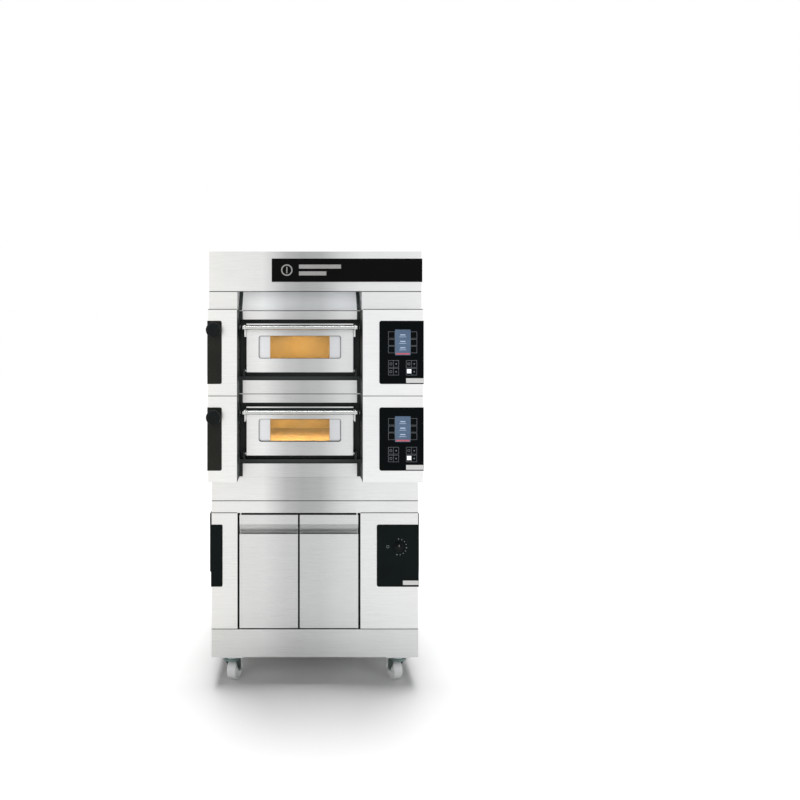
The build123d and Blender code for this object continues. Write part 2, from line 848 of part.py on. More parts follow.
# ---- prover ----
prover_left = left + prover_left_post_width
prover_right = right - prover_right_edge
door_back = face + prover_door_thickness
liner_front = door_back + sheet
liner_back = rear - liner_back_gap
pin_y = face + prover_pin_setback
doors_left = prover_left + prover_door_left_gap
doors_right = prover_right - prover_door_right_gap
pin_xs = (doors_left + prover_pin_inset, doors_right - prover_pin_inset)
thermostat_x = right - thermostat_inset
thermostat_z = prover_z + thermostat_height


def prover_casing():
    """Outer sheets and the liner of the proving cavity."""
    pieces = module_box(plinth_z, spacer_z, face + sheet)
    low = prover_z - sheet
    high = rail_z + sheet
    pieces += [
        block(prover_left - sheet, prover_left, liner_front, liner_back, low, high),
        block(prover_right, prover_right + sheet, liner_front, liner_back, low, high),
        block(prover_left, prover_right, liner_front, liner_back, low, prover_z),
        block(prover_left, prover_right, liner_front, liner_back, rail_z, high),
        block(prover_left - sheet, prover_right + sheet, liner_back, liner_back + sheet, low, high),
    ]
    brace_x = (prover_left + prover_right) / 2
    half = brace_width / 2
    pieces.append(block(brace_x - half, brace_x + half, liner_front, liner_back, plinth_z + sheet, low))
    return pieces


def pin_flange(z0, z1):
    """Flange behind the front sheets, drilled for the pins of both doors."""
    plate = block(prover_left, prover_right, face + sheet, liner_front, z0, z1)
    for x in pin_xs:
        plate -= rod_z(x, pin_y, z0 - hole_extra, z1 + hole_extra, prover_pin_radius + running_fit)
    return plate


def prover_front():
    """Posts and head rail; the rail's lower flange carries the doors' top pins."""
    back = face + sheet
    hole_radius = thermostat_shaft_radius + running_fit
    right_plate = block(prover_right, right, face, back, prover_z, rail_z - seam)
    right_plate -= rod_y(thermostat_x, face - hole_extra, back + hole_extra, thermostat_z, hole_radius)
    return [
        block(left, prover_left, face, back, prover_z, rail_z - seam),
        right_plate,
        block(left, right, face, back, rail_z, spacer_z - seam),
        pin_flange(rail_z, rail_z + sheet),
        block(prover_left - sheet, prover_left, back, liner_front, prover_z, rail_z),
        block(prover_right, prover_right + sheet, back, liner_front, prover_z, rail_z),
    ]


def plinth():
    """Front plate under the doors, with the flange that carries their bottom pins."""
    front_plate = block(left, right, face, face + sheet, plinth_z, prover_z - seam)
    return [front_plate, pin_flange(prover_z - sheet, prover_z)]


def prover_door(x0, x1, pin_x):
    """Door with a sloping finger grip, a hollow body, a back plate and two hinge pins."""
    low = prover_z + prover_door_bottom_gap
    high = rail_z - prover_door_top_gap
    grip_high = high - grip_top + prover_door_top_gap
    grip_low = grip_high - grip_height
    groove = face + grip_depth
    groove_low = grip_low - grip_undercut
    lip_back = face + grip_lip
    with BuildSketch(Plane.YZ) as profile:
        with BuildLine():
            Polyline(
                (face, low), (face, grip_low), (lip_back, grip_low), (lip_back, groove_low),
                (groove, groove_low), (groove, grip_low + grip_slope_foot), (face, grip_high),
                (face, high), (door_back, high), (door_back, low), close=True,
            )
        make_face()
    door = Pos(x0, 0, 0) * extrude(profile.sketch, x1 - x0)
    pocket_x0 = x0 + door_wall
    pocket_x1 = x1 - door_wall
    pocket_low = low + prover_door_foot
    pocket_high = groove_low - door_wall
    door -= block(pocket_x0, pocket_x1, face + door_wall, door_back + hole_extra, pocket_low, pocket_high)
    door += rod_z(pin_x, pin_y, prover_z - sheet, low, prover_pin_radius)
    door += rod_z(pin_x, pin_y, high, rail_z + sheet, prover_pin_radius)
    return [door, block(pocket_x0, pocket_x1, door_back - sheet, door_back, pocket_low, pocket_high)]


def tray_runners():
    """Angle runners in pairs on the cavity's walls."""
    pieces = []
    y0 = liner_front + runner_setback
    y1 = y0 + runner_length
    for row in range(runner_count):
        z = prover_z + runner_first + row * runner_pitch
        for side, wall in ((1, prover_left), (-1, prover_right)):
            shelf_x0, shelf_x1 = sorted((wall, wall + side * runner_width))
            leg_x0, leg_x1 = sorted((wall, wall + side * sheet))
            shelf = block(shelf_x0, shelf_x1, y0, y1, z, z + sheet)
            pieces.append(shelf + block(leg_x0, leg_x1, y0, y1, z - runner_leg, z + sheet))
    return pieces


def prover_heater():
    """Hairpin element on two brackets at the cavity's back."""
    centre_x = (prover_left + prover_right) / 2
    y = liner_back - prover_heater_setback
    half = prover_heater_span / 2
    low = prover_z + prover_heater_height
    pieces = []
    for z in (low, low + prover_heater_pitch):
        pieces.append(rod_x(centre_x - half, centre_x + half, y, z, rod_radius))
    bracket_front = y - heater_bracket_reach
    bracket_top = prover_z + heater_bracket_height
    for x in (centre_x - half - sheet, centre_x + half):
        pieces.append(block(x, x + sheet, bracket_front, liner_back, prover_z, bracket_top))
    return pieces


def water_pan():
    """Open pan for the humidity, on the cavity's floor."""
    centre_x = (prover_left + prover_right) / 2
    y1 = liner_back - pan_setback
    y0 = y1 - pan_depth
    x0 = centre_x - pan_width / 2
    x1 = centre_x + pan_width / 2
    rim_z = prover_z + pan_height
    pan = block(x0, x1, y0, y1, prover_z, rim_z)
    return pan - block(x0 + sheet, x1 - sheet, y0 + sheet, y1 - sheet, prover_z + sheet, rim_z + hole_extra)


save("prover_casing", *prover_casing())
save("prover_front_frame", *prover_front())
save("prover_plinth", *plinth())

half_box = thermostat_box / 2
box_x0 = thermostat_x - half_box
box_x1 = thermostat_x + half_box
box_z0 = thermostat_z - half_box
box_z1 = thermostat_z + half_box
box_back = face + sheet + thermostat_box_depth
shaft_hole_front = face - panel_thickness - hole_extra
shaft_hole_radius = thermostat_shaft_radius + running_fit
shaft_hole = rod_y(thermostat_x, shaft_hole_front, box_back + hole_extra, thermostat_z, shaft_hole_radius)
prover_glass = right_trim(prover_control_width, face, prover_z + prover_trim_bottom, prover_trim_height)
thermostat = block(box_x0, box_x1, face + sheet, box_back, box_z0, box_z1)
save("prover_control_panel", prover_glass - shaft_hole, thermostat - shaft_hole)

knob_back = face - panel_thickness - seat_gap
knob_front = knob_back - thermostat_depth
shaft_back = box_back - thermostat_shaft_end_gap
knob_grip = rod_y(thermostat_x, knob_front, knob_back, thermostat_z, thermostat_radius)
knob_grip = fillet(knob_grip.edges(), thermostat_edge)
knob_shaft = rod_y(thermostat_x, knob_back, shaft_back, thermostat_z, thermostat_shaft_radius)
save("prover_thermostat_knob", knob_grip + knob_shaft)

leaf = (doors_right - doors_left - prover_door_centre_gap) / 2
save("prover_left_door", *prover_door(doors_left, doors_left + leaf, pin_xs[0]))
save("prover_right_door", *prover_door(doors_right - leaf, doors_right, pin_xs[1]))
save("prover_tray_runners", *tray_runners())
save("prover_heater", *prover_heater())
save("prover_water_pan", water_pan())

trims.append(left_trim(prover_left_fascia_width, face, prover_z + prover_trim_bottom, prover_trim_height))
covers += [side_cover(side, prover_z + prover_cover_bottom, prover_cover_height) for side in (-1, 1)]
save("left_trim_panels", *trims)
save("side_covers", *covers)

# ---- cable glands, one to each powered module ----
glands = []
for z in (upper_z + gland_height, lower_z + gland_height, plinth_z + gland_height):
    gland = rod_y(gland_x, rear, rear + gland_reach, z, gland_radius)
    gland += rod_y(gland_x, rear, rear + gland_nut_depth, z, gland_nut_radius)
    glands.append(gland - rod_y(gland_x, rear - hole_extra, rear + gland_reach + hole_extra, z, gland_bore))
save("cable_glands", *glands)

# ---- casters ----
plate_low = plinth_z - caster_plate_thickness
crown_top = plate_low - race_height
crown_low = crown_top - crown_thickness
leg_inner = wheel_width / 2 + fork_gap
leg_outer = leg_inner + fork_leg_thickness
pedal_pin_y = crown_radius + pedal_pin_gap
pedal_pin_z = (crown_low + crown_top) / 2


def fork():
    """Swivel fork at its own kingpin axis: crown, tapered legs and axle; the wheel trails to +Y."""
    crown = rod_z(0, 0, crown_low, crown_top, crown_radius)
    crown -= rod_z(0, 0, crown_low - hole_extra, crown_top + hole_extra, kingpin_radius + running_fit)
    half = fork_leg_depth / 2
    for side in (-1, 1):
        low, high = sorted((side * leg_inner, side * leg_outer))
        with BuildSketch(Plane.YZ) as profile:
            with BuildLine():
                Polyline(
                    (-half, crown_low), (fork_shoulder, crown_low), (caster_trail + fork_eye, wheel_radius),
                    (caster_trail, wheel_radius - fork_eye), (caster_trail - fork_eye, wheel_radius),
                    close=True,
                )
            make_face()
        crown += Pos(low, 0, 0) * extrude(profile.sketch, high - low)
    ear_inner = pedal_width / 2 + seat_gap
    ear_back = pedal_pin_y + 2 * pedal_pin_radius
    hole_radius = pedal_pin_radius + running_fit
    for side in (-1, 1):
        low, high = sorted((side * ear_inner, side * (ear_inner + pedal_ear_width)))
        ear = block(low, high, fork_shoulder, ear_back, crown_low, crown_top)
        crown += ear - rod_x(low - hole_extra, high + hole_extra, pedal_pin_y, pedal_pin_z, hole_radius)
    axle = rod_x(-leg_outer, leg_outer, caster_trail, wheel_radius, axle_radius)
    return crown + axle


def wheel():
    """Nylon wheel on the axle."""
    tread = rod_x(-wheel_width / 2, wheel_width / 2, caster_trail, wheel_radius, wheel_radius)
    tread = fillet(tread.edges(), wheel_edge_radius)
    return tread - rod_x(-wheel_width, wheel_width, caster_trail, wheel_radius, axle_radius + running_fit)


def pedal():
    """Brake pedal over the wheel's trailing side, on a pin between the fork's ears."""
    half = pedal_width / 2
    y0 = crown_radius + pedal_crown_gap
    y1 = y0 + pedal_length
    low = pedal_pin_z - pedal_thickness / 2
    high = pedal_pin_z + pedal_thickness / 2
    pad = block(-half, half, y0, y1, low, high)
    pad += block(-half, half, y1 - pedal_thickness, y1, low - pedal_hook, high)
    pin_end = half + seat_gap + pedal_ear_width
    return pad + rod_x(-pin_end, pin_end, pedal_pin_y, pedal_pin_z, pedal_pin_radius)


caster_places = {
    "front_left": (left + caster_inset, face + caster_front_setback, -1),
    "front_right": (right - caster_inset, face + caster_front_setback, 1),
    "rear_left": (left + caster_inset, rear - caster_rear_setback, -1),
    "rear_right": (right - caster_inset, rear - caster_rear_setback, 1),
}
plates = []
for name, (x, y, side) in caster_places.items():
    place = Pos(x, y, 0) * Rot(0, 0, side * caster_turn)
    half_x = caster_plate_width / 2
    half_y = caster_plate_depth / 2
    plate = block(x - half_x, x + half_x, y - half_y, y + half_y, plate_low, plinth_z)
    plate += rod_z(x, y, crown_top + seat_gap, plate_low, race_radius)
    plates.append(plate + rod_z(x, y, crown_low, crown_top + seat_gap, kingpin_radius))
    save(f"{name}_caster_fork", place * fork())
    save(f"{name}_caster_wheel", place * wheel())
    if name.startswith("front"):
        save(f"{name}_brake_pedal", place * pedal())
save("caster_plates", *plates)
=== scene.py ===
import bpy
import json
import math
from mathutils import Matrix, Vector


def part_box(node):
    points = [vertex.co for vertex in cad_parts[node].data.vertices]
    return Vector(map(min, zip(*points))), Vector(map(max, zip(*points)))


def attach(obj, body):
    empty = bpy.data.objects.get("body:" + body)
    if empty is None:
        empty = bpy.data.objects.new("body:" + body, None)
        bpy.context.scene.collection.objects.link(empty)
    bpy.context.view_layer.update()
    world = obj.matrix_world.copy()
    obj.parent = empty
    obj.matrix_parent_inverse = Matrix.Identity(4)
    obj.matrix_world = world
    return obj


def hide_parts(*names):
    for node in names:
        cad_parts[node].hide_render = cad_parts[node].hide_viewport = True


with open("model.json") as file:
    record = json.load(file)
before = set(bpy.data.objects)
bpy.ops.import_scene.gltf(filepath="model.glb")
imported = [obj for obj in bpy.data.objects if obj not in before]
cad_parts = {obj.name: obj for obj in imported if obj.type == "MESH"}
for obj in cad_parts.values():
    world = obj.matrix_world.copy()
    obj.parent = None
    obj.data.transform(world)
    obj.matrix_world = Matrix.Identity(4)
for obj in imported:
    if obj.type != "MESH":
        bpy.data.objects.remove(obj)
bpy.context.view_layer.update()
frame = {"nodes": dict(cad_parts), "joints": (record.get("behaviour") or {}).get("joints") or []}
joints = {joint["name"]: joint for joint in frame["joints"]}
decks = ("upper", "lower")
print("frame loaded", len(frame["nodes"]), "nodes")


# small helpers for node trees
def addNode(tree, kind, **settings):
    node = tree.nodes.new(kind)
    for key, value in settings.items():
        setattr(node, key, value)
    return node


def newGroup(name, inputs, outputs):
    group = bpy.data.node_groups.new(name, "ShaderNodeTree")
    for label, value in inputs.items():
        group.interface.new_socket(label, in_out="INPUT", socket_type="NodeSocketFloat").default_value = value
    for label, kind in outputs.items():
        group.interface.new_socket(label, in_out="OUTPUT", socket_type=kind)
    return group, addNode(group, "NodeGroupInput"), addNode(group, "NodeGroupOutput")


def noiseOf(tree, vector, scale, detail=3.0, roughness=0.5):
    noise = addNode(tree, "ShaderNodeTexNoise")
    noise.inputs["Scale"].default_value = scale
    noise.inputs["Detail"].default_value = detail
    noise.inputs["Roughness"].default_value = roughness
    tree.links.new(vector, noise.inputs["Vector"])
    return noise.outputs["Fac"]


def remap(tree, value, fromLow, fromHigh, toLow, toHigh):
    node = addNode(tree, "ShaderNodeMapRange")
    labels = ("From Min", "From Max", "To Min", "To Max")
    for label, number in zip(labels, (fromLow, fromHigh, toLow, toHigh)):
        node.inputs[label].default_value = number
    tree.links.new(value, node.inputs["Value"])
    return node.outputs["Result"]


def calc(tree, operation, first, second):
    node = addNode(tree, "ShaderNodeMath", operation=operation)
    for socket, value in zip(node.inputs, (first, second)):
        if isinstance(value, (int, float)):
            socket.default_value = value
        else:
            tree.links.new(value, socket)
    return node.outputs[0]


def rampOf(tree, value, stops):
    ramp = addNode(tree, "ShaderNodeValToRGB")
    elements = ramp.color_ramp.elements
    while len(elements) < len(stops):
        elements.new(0.5)
    for element, (place, colour) in zip(elements, stops):
        element.position = place
        element.color = (*colour, 1.0)
    tree.links.new(value, ramp.inputs["Fac"])
    return ramp.outputs["Color"]


# level brushing: fine across the grain, long along it, turned on faces that look up or down
def makeGrainGroup():
    group, start, end = newGroup(
        "levelGrain",
        {"Along": 4.0, "Across": 900.0},
        {"Streak": "NodeSocketFloat"},
    )
    coords = addNode(group, "ShaderNodeTexCoord")
    facing = addNode(group, "ShaderNodeNewGeometry")
    split = addNode(group, "ShaderNodeSeparateXYZ")
    group.links.new(facing.outputs["Normal"], split.inputs[0])
    streaks = []
    for order in (("Along", "Along", "Across"), ("Along", "Across", "Along")):
        scale = addNode(group, "ShaderNodeCombineXYZ")
        for socket, label in zip(scale.inputs, order):
            group.links.new(start.outputs[label], socket)
        stretched = addNode(group, "ShaderNodeVectorMath", operation="MULTIPLY")
        group.links.new(coords.outputs["Object"], stretched.inputs[0])
        group.links.new(scale.outputs[0], stretched.inputs[1])
        streaks.append(noiseOf(group, stretched.outputs[0], 1.0, 4.0, 0.62))
    flat = calc(group, "GREATER_THAN", calc(group, "ABSOLUTE", split.outputs["Z"], 0.0), 0.6)
    mix = addNode(group, "ShaderNodeMix", data_type="FLOAT")
    group.links.new(flat, mix.inputs["Factor"])
    group.links.new(streaks[0], mix.inputs["A"])
    group.links.new(streaks[1], mix.inputs["B"])
    group.links.new(mix.outputs["Result"], end.inputs["Streak"])
    return group


# broad soft blotches: handling marks and slight stains
def makeSmudgeGroup():
    outputs = {"Cloud": "NodeSocketFloat", "Speck": "NodeSocketFloat"}
    group, start, end = newGroup("handlingMarks", {"Scale": 3.0}, outputs)
    coords = addNode(group, "ShaderNodeTexCoord")
    scaled = addNode(group, "ShaderNodeVectorMath", operation="SCALE")
    group.links.new(coords.outputs["Object"], scaled.inputs[0])
    group.links.new(start.outputs["Scale"], scaled.inputs["Scale"])
    group.links.new(noiseOf(group, scaled.outputs[0], 1.0, 2.0, 0.55), end.inputs["Cloud"])
    group.links.new(noiseOf(group, scaled.outputs[0], 60.0, 2.0, 0.7), end.inputs["Speck"])
    return group


# painted reflection and shade across the sheets: lighter at both flanks, darker left of the middle, warm to
# cool from left to right
reflectionShadeStops = (
    (0.0, 0.0), (0.25, 0.04), (0.36, 0.8), (0.44, 1.0),
    (0.53, 0.9), (0.62, 0.4), (0.72, 0.08), (1.0, 0.0),
)
reflectionTintStops = ((0.0, (1.0, 0.995, 0.975)), (0.5, (0.975, 0.99, 1.0)), (1.0, (0.985, 0.992, 1.0)))


def makeReflectionShadeGroup():
    group, start, end = newGroup("paintedReflectionTone", {"Depth": 0.3}, {"Tint": "NodeSocketColor"})
    coords = addNode(group, "ShaderNodeTexCoord")
    split = addNode(group, "ShaderNodeSeparateXYZ")
    group.links.new(coords.outputs["Object"], split.inputs[0])
    across = remap(group, split.outputs["X"], -0.5, 0.5, 0.0, 1.0)
    dark = rampOf(group, across, [(place, (value,) * 3) for place, value in reflectionShadeStops])
    shade = calc(group, "SUBTRACT", 1.0, calc(group, "MULTIPLY", dark, start.outputs["Depth"]))
    shaded = addNode(group, "ShaderNodeVectorMath", operation="SCALE")
    group.links.new(rampOf(group, across, reflectionTintStops), shaded.inputs[0])
    group.links.new(shade, shaded.inputs["Scale"])
    group.links.new(shaded.outputs[0], end.inputs["Tint"])
    return group


# one inside a band round a centre along X or Y, nought outside it: where the painted shade starts and stops
def makeBandGroup():
    inputs = {"AlongX": 1.0, "AlongY": 0.0, "Centre": 0.0, "Half": 0.1}
    group, start, end = newGroup("paintedShadeBand", inputs, {"Inside": "NodeSocketFloat"})
    coords = addNode(group, "ShaderNodeTexCoord")
    split = addNode(group, "ShaderNodeSeparateXYZ")
    group.links.new(coords.outputs["Object"], split.inputs[0])
    first = calc(group, "MULTIPLY", split.outputs["X"], start.outputs["AlongX"])
    second = calc(group, "MULTIPLY", split.outputs["Y"], start.outputs["AlongY"])
    offset = calc(group, "SUBTRACT", calc(group, "ADD", first, second), start.outputs["Centre"])
    inside = calc(group, "LESS_THAN", calc(group, "ABSOLUTE", offset, 0.0), start.outputs["Half"])
    group.links.new(inside, end.inputs["Inside"])
    return group


groups = {
    "grain": makeGrainGroup(), "smudge": makeSmudgeGroup(),
    "paintedReflection": makeReflectionShadeGroup(), "band": makeBandGroup(),
}


def useGroup(tree, key, **values):
    node = addNode(tree, "ShaderNodeGroup", node_tree=groups[key])
    for label, value in values.items():
        node.inputs[label].default_value = value
    return node


def startMaterial(name, **sockets):
    material = bpy.data.materials.new(name)
    material.use_nodes = True
    tree = material.node_tree
    shader = tree.nodes["Principled BSDF"]
    for label, value in sockets.items():
        shader.inputs[label.replace("_", " ")].default_value = value
    return material, tree, shader


def bumpInto(tree, shader, height, strength, distance):
    bump = addNode(tree, "ShaderNodeBump")
    bump.inputs["Strength"].default_value = strength
    bump.inputs["Distance"].default_value = distance
    tree.links.new(height, bump.inputs["Height"])
    tree.links.new(bump.outputs["Normal"], shader.inputs["Normal"])


steelLook = {"light": (0.87, 0.865, 0.855), "dark": (0.78, 0.78, 0.78), "roughLow": 0.24, "roughHigh": 0.36}


def makeSteel(name, light, dark, roughLow, roughHigh, reflectionShadeDepth, across=1300.0, bump=0.1, metallic=1.0):
    material, tree, shader = startMaterial(name, Metallic=metallic)
    streak = useGroup(tree, "grain", Along=9.0, Across=across).outputs["Streak"]
    marks = useGroup(tree, "smudge", Scale=2.2)
    # painted reflection and shade across X, multiplied into the steel's colour
    reflectionTint = useGroup(tree, "paintedReflection", Depth=reflectionShadeDepth).outputs["Tint"]
    colour = rampOf(tree, streak, [(0.35, dark), (0.65, light)])
    tinted = addNode(tree, "ShaderNodeVectorMath", operation="MULTIPLY")
    tree.links.new(colour, tinted.inputs[0])
    tree.links.new(reflectionTint, tinted.inputs[1])
    shaded = addNode(tree, "ShaderNodeVectorMath", operation="SCALE")
    tree.links.new(tinted.outputs[0], shaded.inputs[0])
    tree.links.new(remap(tree, marks.outputs["Cloud"], 0.3, 0.7, 0.95, 1.0), shaded.inputs["Scale"])
    tree.links.new(shaded.outputs[0], shader.inputs["Base Color"])
    handled = remap(tree, marks.outputs["Cloud"], 0.4, 0.7, 0.0, 0.05)
    rough = calc(tree, "ADD", remap(tree, streak, 0.3, 0.7, roughLow, roughHigh), handled)
    tree.links.new(rough, shader.inputs["Roughness"])
    bumpInto(tree, shader, streak, bump, 0.0003)
    return material


# painted shade: a dark band over part of a sheet, where recesses and gaps fall into shade
coatingAndShade = {"colour": (0.006, 0.0125, 0.011, 1.0), "metallic": 0.0, "roughness": 0.5}


def paintShadeBand(material, along, centre, half, inside):
    tree = material.node_tree
    shader = tree.nodes["Principled BSDF"]
    directions = {"AlongX": float(along == "X"), "AlongY": float(along == "Y")}
    mask = useGroup(tree, "band", Centre=centre, Half=half, **directions).outputs["Inside"]
    if not inside:
        mask = calc(tree, "SUBTRACT", 1.0, mask)
    kinds = (
        ("Base Color", "RGBA", "colour"),
        ("Metallic", "FLOAT", "metallic"),
        ("Roughness", "FLOAT", "roughness"),
    )
    for label, kind, key in kinds:
        socket = shader.inputs[label]
        mix = addNode(tree, "ShaderNodeMix", data_type=kind)
        places = [entry for entry in mix.inputs if entry.enabled]
        if socket.is_linked:
            tree.links.new(socket.links[0].from_socket, places[1])
        else:
            places[1].default_value = socket.default_value
        places[2].default_value = coatingAndShade[key]
        tree.links.new(mask, places[0])
        tree.links.new([entry for entry in mix.outputs if entry.enabled][0], socket)
    return material


def makeDullMetal(name, colour, metallic, roughLow, roughHigh, spread=0.25, scale=9.0, bump=0.1, gloss=0.5):
    material, tree, shader = startMaterial(name, Metallic=metallic, Specular_IOR_Level=gloss)
    marks = useGroup(tree, "smudge", Scale=scale)
    low = tuple(channel * (1 - spread) for channel in colour)
    shade = rampOf(tree, marks.outputs["Cloud"], [(0.3, low), (0.72, colour)])
    tree.links.new(shade, shader.inputs["Base Color"])
    rough = remap(tree, marks.outputs["Speck"], 0.3, 0.7, roughLow, roughHigh)
    tree.links.new(rough, shader.inputs["Roughness"])
    bumpInto(tree, shader, marks.outputs["Speck"], bump, 0.0004)
    return material


def makeGlow(name, colour, strength, scale=20.0):
    material, tree, shader = startMaterial(name, Roughness=0.25, Emission_Strength=strength)
    marks = useGroup(tree, "smudge", Scale=scale)
    dim = tuple(channel * 0.82 for channel in colour)
    glow = rampOf(tree, marks.outputs["Cloud"], [(0.3, dim), (0.7, colour)])
    tree.links.new(glow, shader.inputs["Emission Color"])
    tree.links.new(glow, shader.inputs["Base Color"])
    return material


def makeOvenGlass():
    material, tree, shader = startMaterial("ovenGlass", Metallic=0.0, Transmission_Weight=0.0, IOR=1.5)
    marks = useGroup(tree, "smudge", Scale=14.0)
    tree.links.new(remap(tree, marks.outputs["Cloud"], 0.3, 0.7, 0.03, 0.09), shader.inputs["Roughness"])
    tree.links.new(remap(tree, marks.outputs["Speck"], 0.35, 0.75, 0.1, 0.2), shader.inputs["Alpha"])
    amber = rampOf(tree, marks.outputs["Cloud"], [(0.3, (0.62, 0.42, 0.12)), (0.7, (0.8, 0.6, 0.25))])
    tree.links.new(amber, shader.inputs["Base Color"])
    return material


def makeWool():
    material, tree, shader = startMaterial("mineralWool", Roughness=0.95, Sheen_Weight=0.3)
    streak = useGroup(tree, "grain", Along=60.0, Across=420.0).outputs["Streak"]
    fibres = rampOf(tree, streak, [(0.3, (0.42, 0.37, 0.2)), (0.7, (0.78, 0.72, 0.5))])
    tree.links.new(fibres, shader.inputs["Base Color"])
    bumpInto(tree, shader, streak, 0.8, 0.004)
    return material


def makeDisplay():
    sockets = {"Roughness": 0.15, "Emission_Strength": 0.3, "Specular_IOR_Level": 0.2}
    material, tree, shader = startMaterial("litDisplay", **sockets)
    cloud = useGroup(tree, "smudge", Scale=16.0).outputs["Cloud"]
    colour = rampOf(tree, cloud, [(0.3, (0.075, 0.12, 0.19)), (0.7, (0.1, 0.155, 0.24))])
    tree.links.new(colour, shader.inputs["Emission Color"])
    tree.links.new(colour, shader.inputs["Base Color"])
    return material


postLow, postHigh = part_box("upper_left_post")
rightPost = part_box("upper_right_post")[0]
gapCentre = (postHigh.x + rightPost.x) / 2
gapHalf = (rightPost.x - postHigh.x) / 2
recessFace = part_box("upper_front_panels")[0].y
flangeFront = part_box("upper_baking_chamber")[0].y
mouthLow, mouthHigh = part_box("hood_deflector")

looks = {
    "steel": makeSteel("brushedSteel", reflectionShadeDepth=0.5, **steelLook),
    "recessSteel": makeSteel("recessSteel", reflectionShadeDepth=0.42, **steelLook),
    "postSteel": makeSteel("postSteel", (0.93, 0.925, 0.915), (0.85, 0.85, 0.85), 0.24, 0.36, 0.1),
    "doorSteel": makeSteel("doorSteel", (0.93, 0.925, 0.915), (0.85, 0.85, 0.85), 0.24, 0.36, 0.42),
    "hoodPlate": makeSteel(
        "hoodPlateSteel", (0.8, 0.81, 0.82), (0.72, 0.73, 0.74), 0.5, 0.6, 0.45, metallic=0.25,
    ),
    "proverSteel": makeSteel("proverDoorSteel", (0.76, 0.76, 0.75), (0.68, 0.68, 0.68), 0.24, 0.36, 0.2),
    "plainSteel": makeSteel("millSteel", (0.7, 0.71, 0.72), (0.6, 0.61, 0.62), 0.3, 0.45, 0.1, 700.0),
    "bezelSteel": makeSteel("doorBezelSteel", (0.88, 0.885, 0.9), (0.8, 0.8, 0.82), 0.3, 0.42, 0.3),
    "chrome": makeSteel(
        "polishedTube", (0.66, 0.66, 0.64), (0.56, 0.57, 0.56), 0.08, 0.2, 0.2, 1400.0, 0.03,
    ),
    "zinc": makeDullMetal("zincPlate", (0.74, 0.77, 0.76), 0.95, 0.22, 0.42, 0.2),
    "forkZinc": makeDullMetal("passivatedZinc", (0.2, 0.27, 0.26), 0.9, 0.22, 0.4, 0.45),
    "trim": makeDullMetal("satinBlack", (0.03, 0.031, 0.026), 0.0, 0.35, 0.5, 0.35, 5.0, 0.05, 0.06),
    "proverTrim": makeDullMetal(
        "proverBlack", (0.006, 0.0105, 0.0105), 0.0, 0.3, 0.45, 0.3, 5.0, 0.04, 0.06,
    ),
    "sideTray": makeDullMetal("trayBlack", (0.008, 0.01, 0.01), 0.0, 0.4, 0.55, 0.3, 5.0, 0.1, 0.15),
    "sign": makeDullMetal("signBlack", (0.0055, 0.005, 0.005), 0.0, 0.3, 0.4, 0.4, 2.0, 0.03, 0.04),
    "controlGlass": makeDullMetal(
        "touchGlass", (0.0028, 0.0045, 0.0055), 0.0, 0.1, 0.2, 0.3, 4.0, 0.01, 0.04,
    ),
    "plastic": makeDullMetal(
        "mouldedBlack", (0.006, 0.0085, 0.0085), 0.0, 0.4, 0.55, 0.3, 30.0, 0.25, 0.12,
    ),
    "coatingAndShade": makeDullMetal("heatproofCoating", (0.03, 0.033, 0.031), 0.3, 0.45, 0.65, 0.5, 12.0, 0.2),
    # painted dark reflection and shade for the sloping fold at the top of each door
    "foldShade": makeDullMetal(
        "paintedFoldShade", (0.014, 0.024, 0.022), 0.4, 0.35, 0.55, 0.4, 14.0, 0.05, 0.2,
    ),
    "enamel": makeDullMetal("chamberEnamel", (0.72, 0.55, 0.24), 0.35, 0.35, 0.55, 0.4, 7.0, 0.15),
    "sheath": makeDullMetal("elementSheath", (0.16, 0.12, 0.09), 0.7, 0.4, 0.7, 0.5, 40.0, 0.3),
    "stone": makeDullMetal("firedStone", (0.6, 0.45, 0.27), 0.0, 0.7, 0.95, 0.4, 18.0, 0.6),
    "nylon": makeDullMetal("whiteNylon", (0.94, 0.95, 0.96), 0.0, 0.3, 0.5, 0.06, 12.0, 0.1),
    "label": makeDullMetal("blankLabel", (0.86, 0.86, 0.85), 0.0, 0.3, 0.45, 0.06, 30.0, 0.05),
    "rubber": makeDullMetal("windowGasket", (0.02, 0.022, 0.022), 0.0, 0.6, 0.75, 0.3, 25.0, 0.2, 0.2),
    # printed marks with a weak glow: painted light on print that is no lamp
    "print": makeGlow("panelPrint", (0.2, 0.22, 0.24), 0.2),
    "ledWhite": makeGlow("litKey", (0.92, 0.96, 1.0), 0.9),
    "screenLine": makeGlow("screenLine", (0.4, 0.5, 0.64), 0.5),
    "screenRed": makeGlow("screenBar", (0.5, 0.1, 0.12), 0.35),
    "lampGlow": makeGlow("lampLens", (1.0, 0.72, 0.36), 4.0),
    "emblem": makeDullMetal("emblemGrey", (0.42, 0.41, 0.4), 0.3, 0.4, 0.55, 0.15, 8.0, 0.05),
    "ovenGlass": makeOvenGlass(),
    "wool": makeWool(),
    "display": makeDisplay(),
}
# painted shade: dark bands on the recess panels off their front face, on the posts' inner cheeks in the gap,
# on the chamber's front flange and on the deflector's flanks beside the hood mouth
paintShadeBand(looks["recessSteel"], "Y", recessFace, 0.0035, False)
paintShadeBand(looks["postSteel"], "X", gapCentre, gapHalf + 0.0004, True)
paintShadeBand(looks["enamel"], "Y", flangeFront, 0.0025, True)
mouthCentre = (mouthLow.x + mouthHigh.x) / 2
mouthHalf = (mouthHigh.x - mouthLow.x) / 2 - 0.016
paintShadeBand(looks["hoodPlate"], "X", mouthCentre, mouthHalf, False)
print("materials made", len(looks))

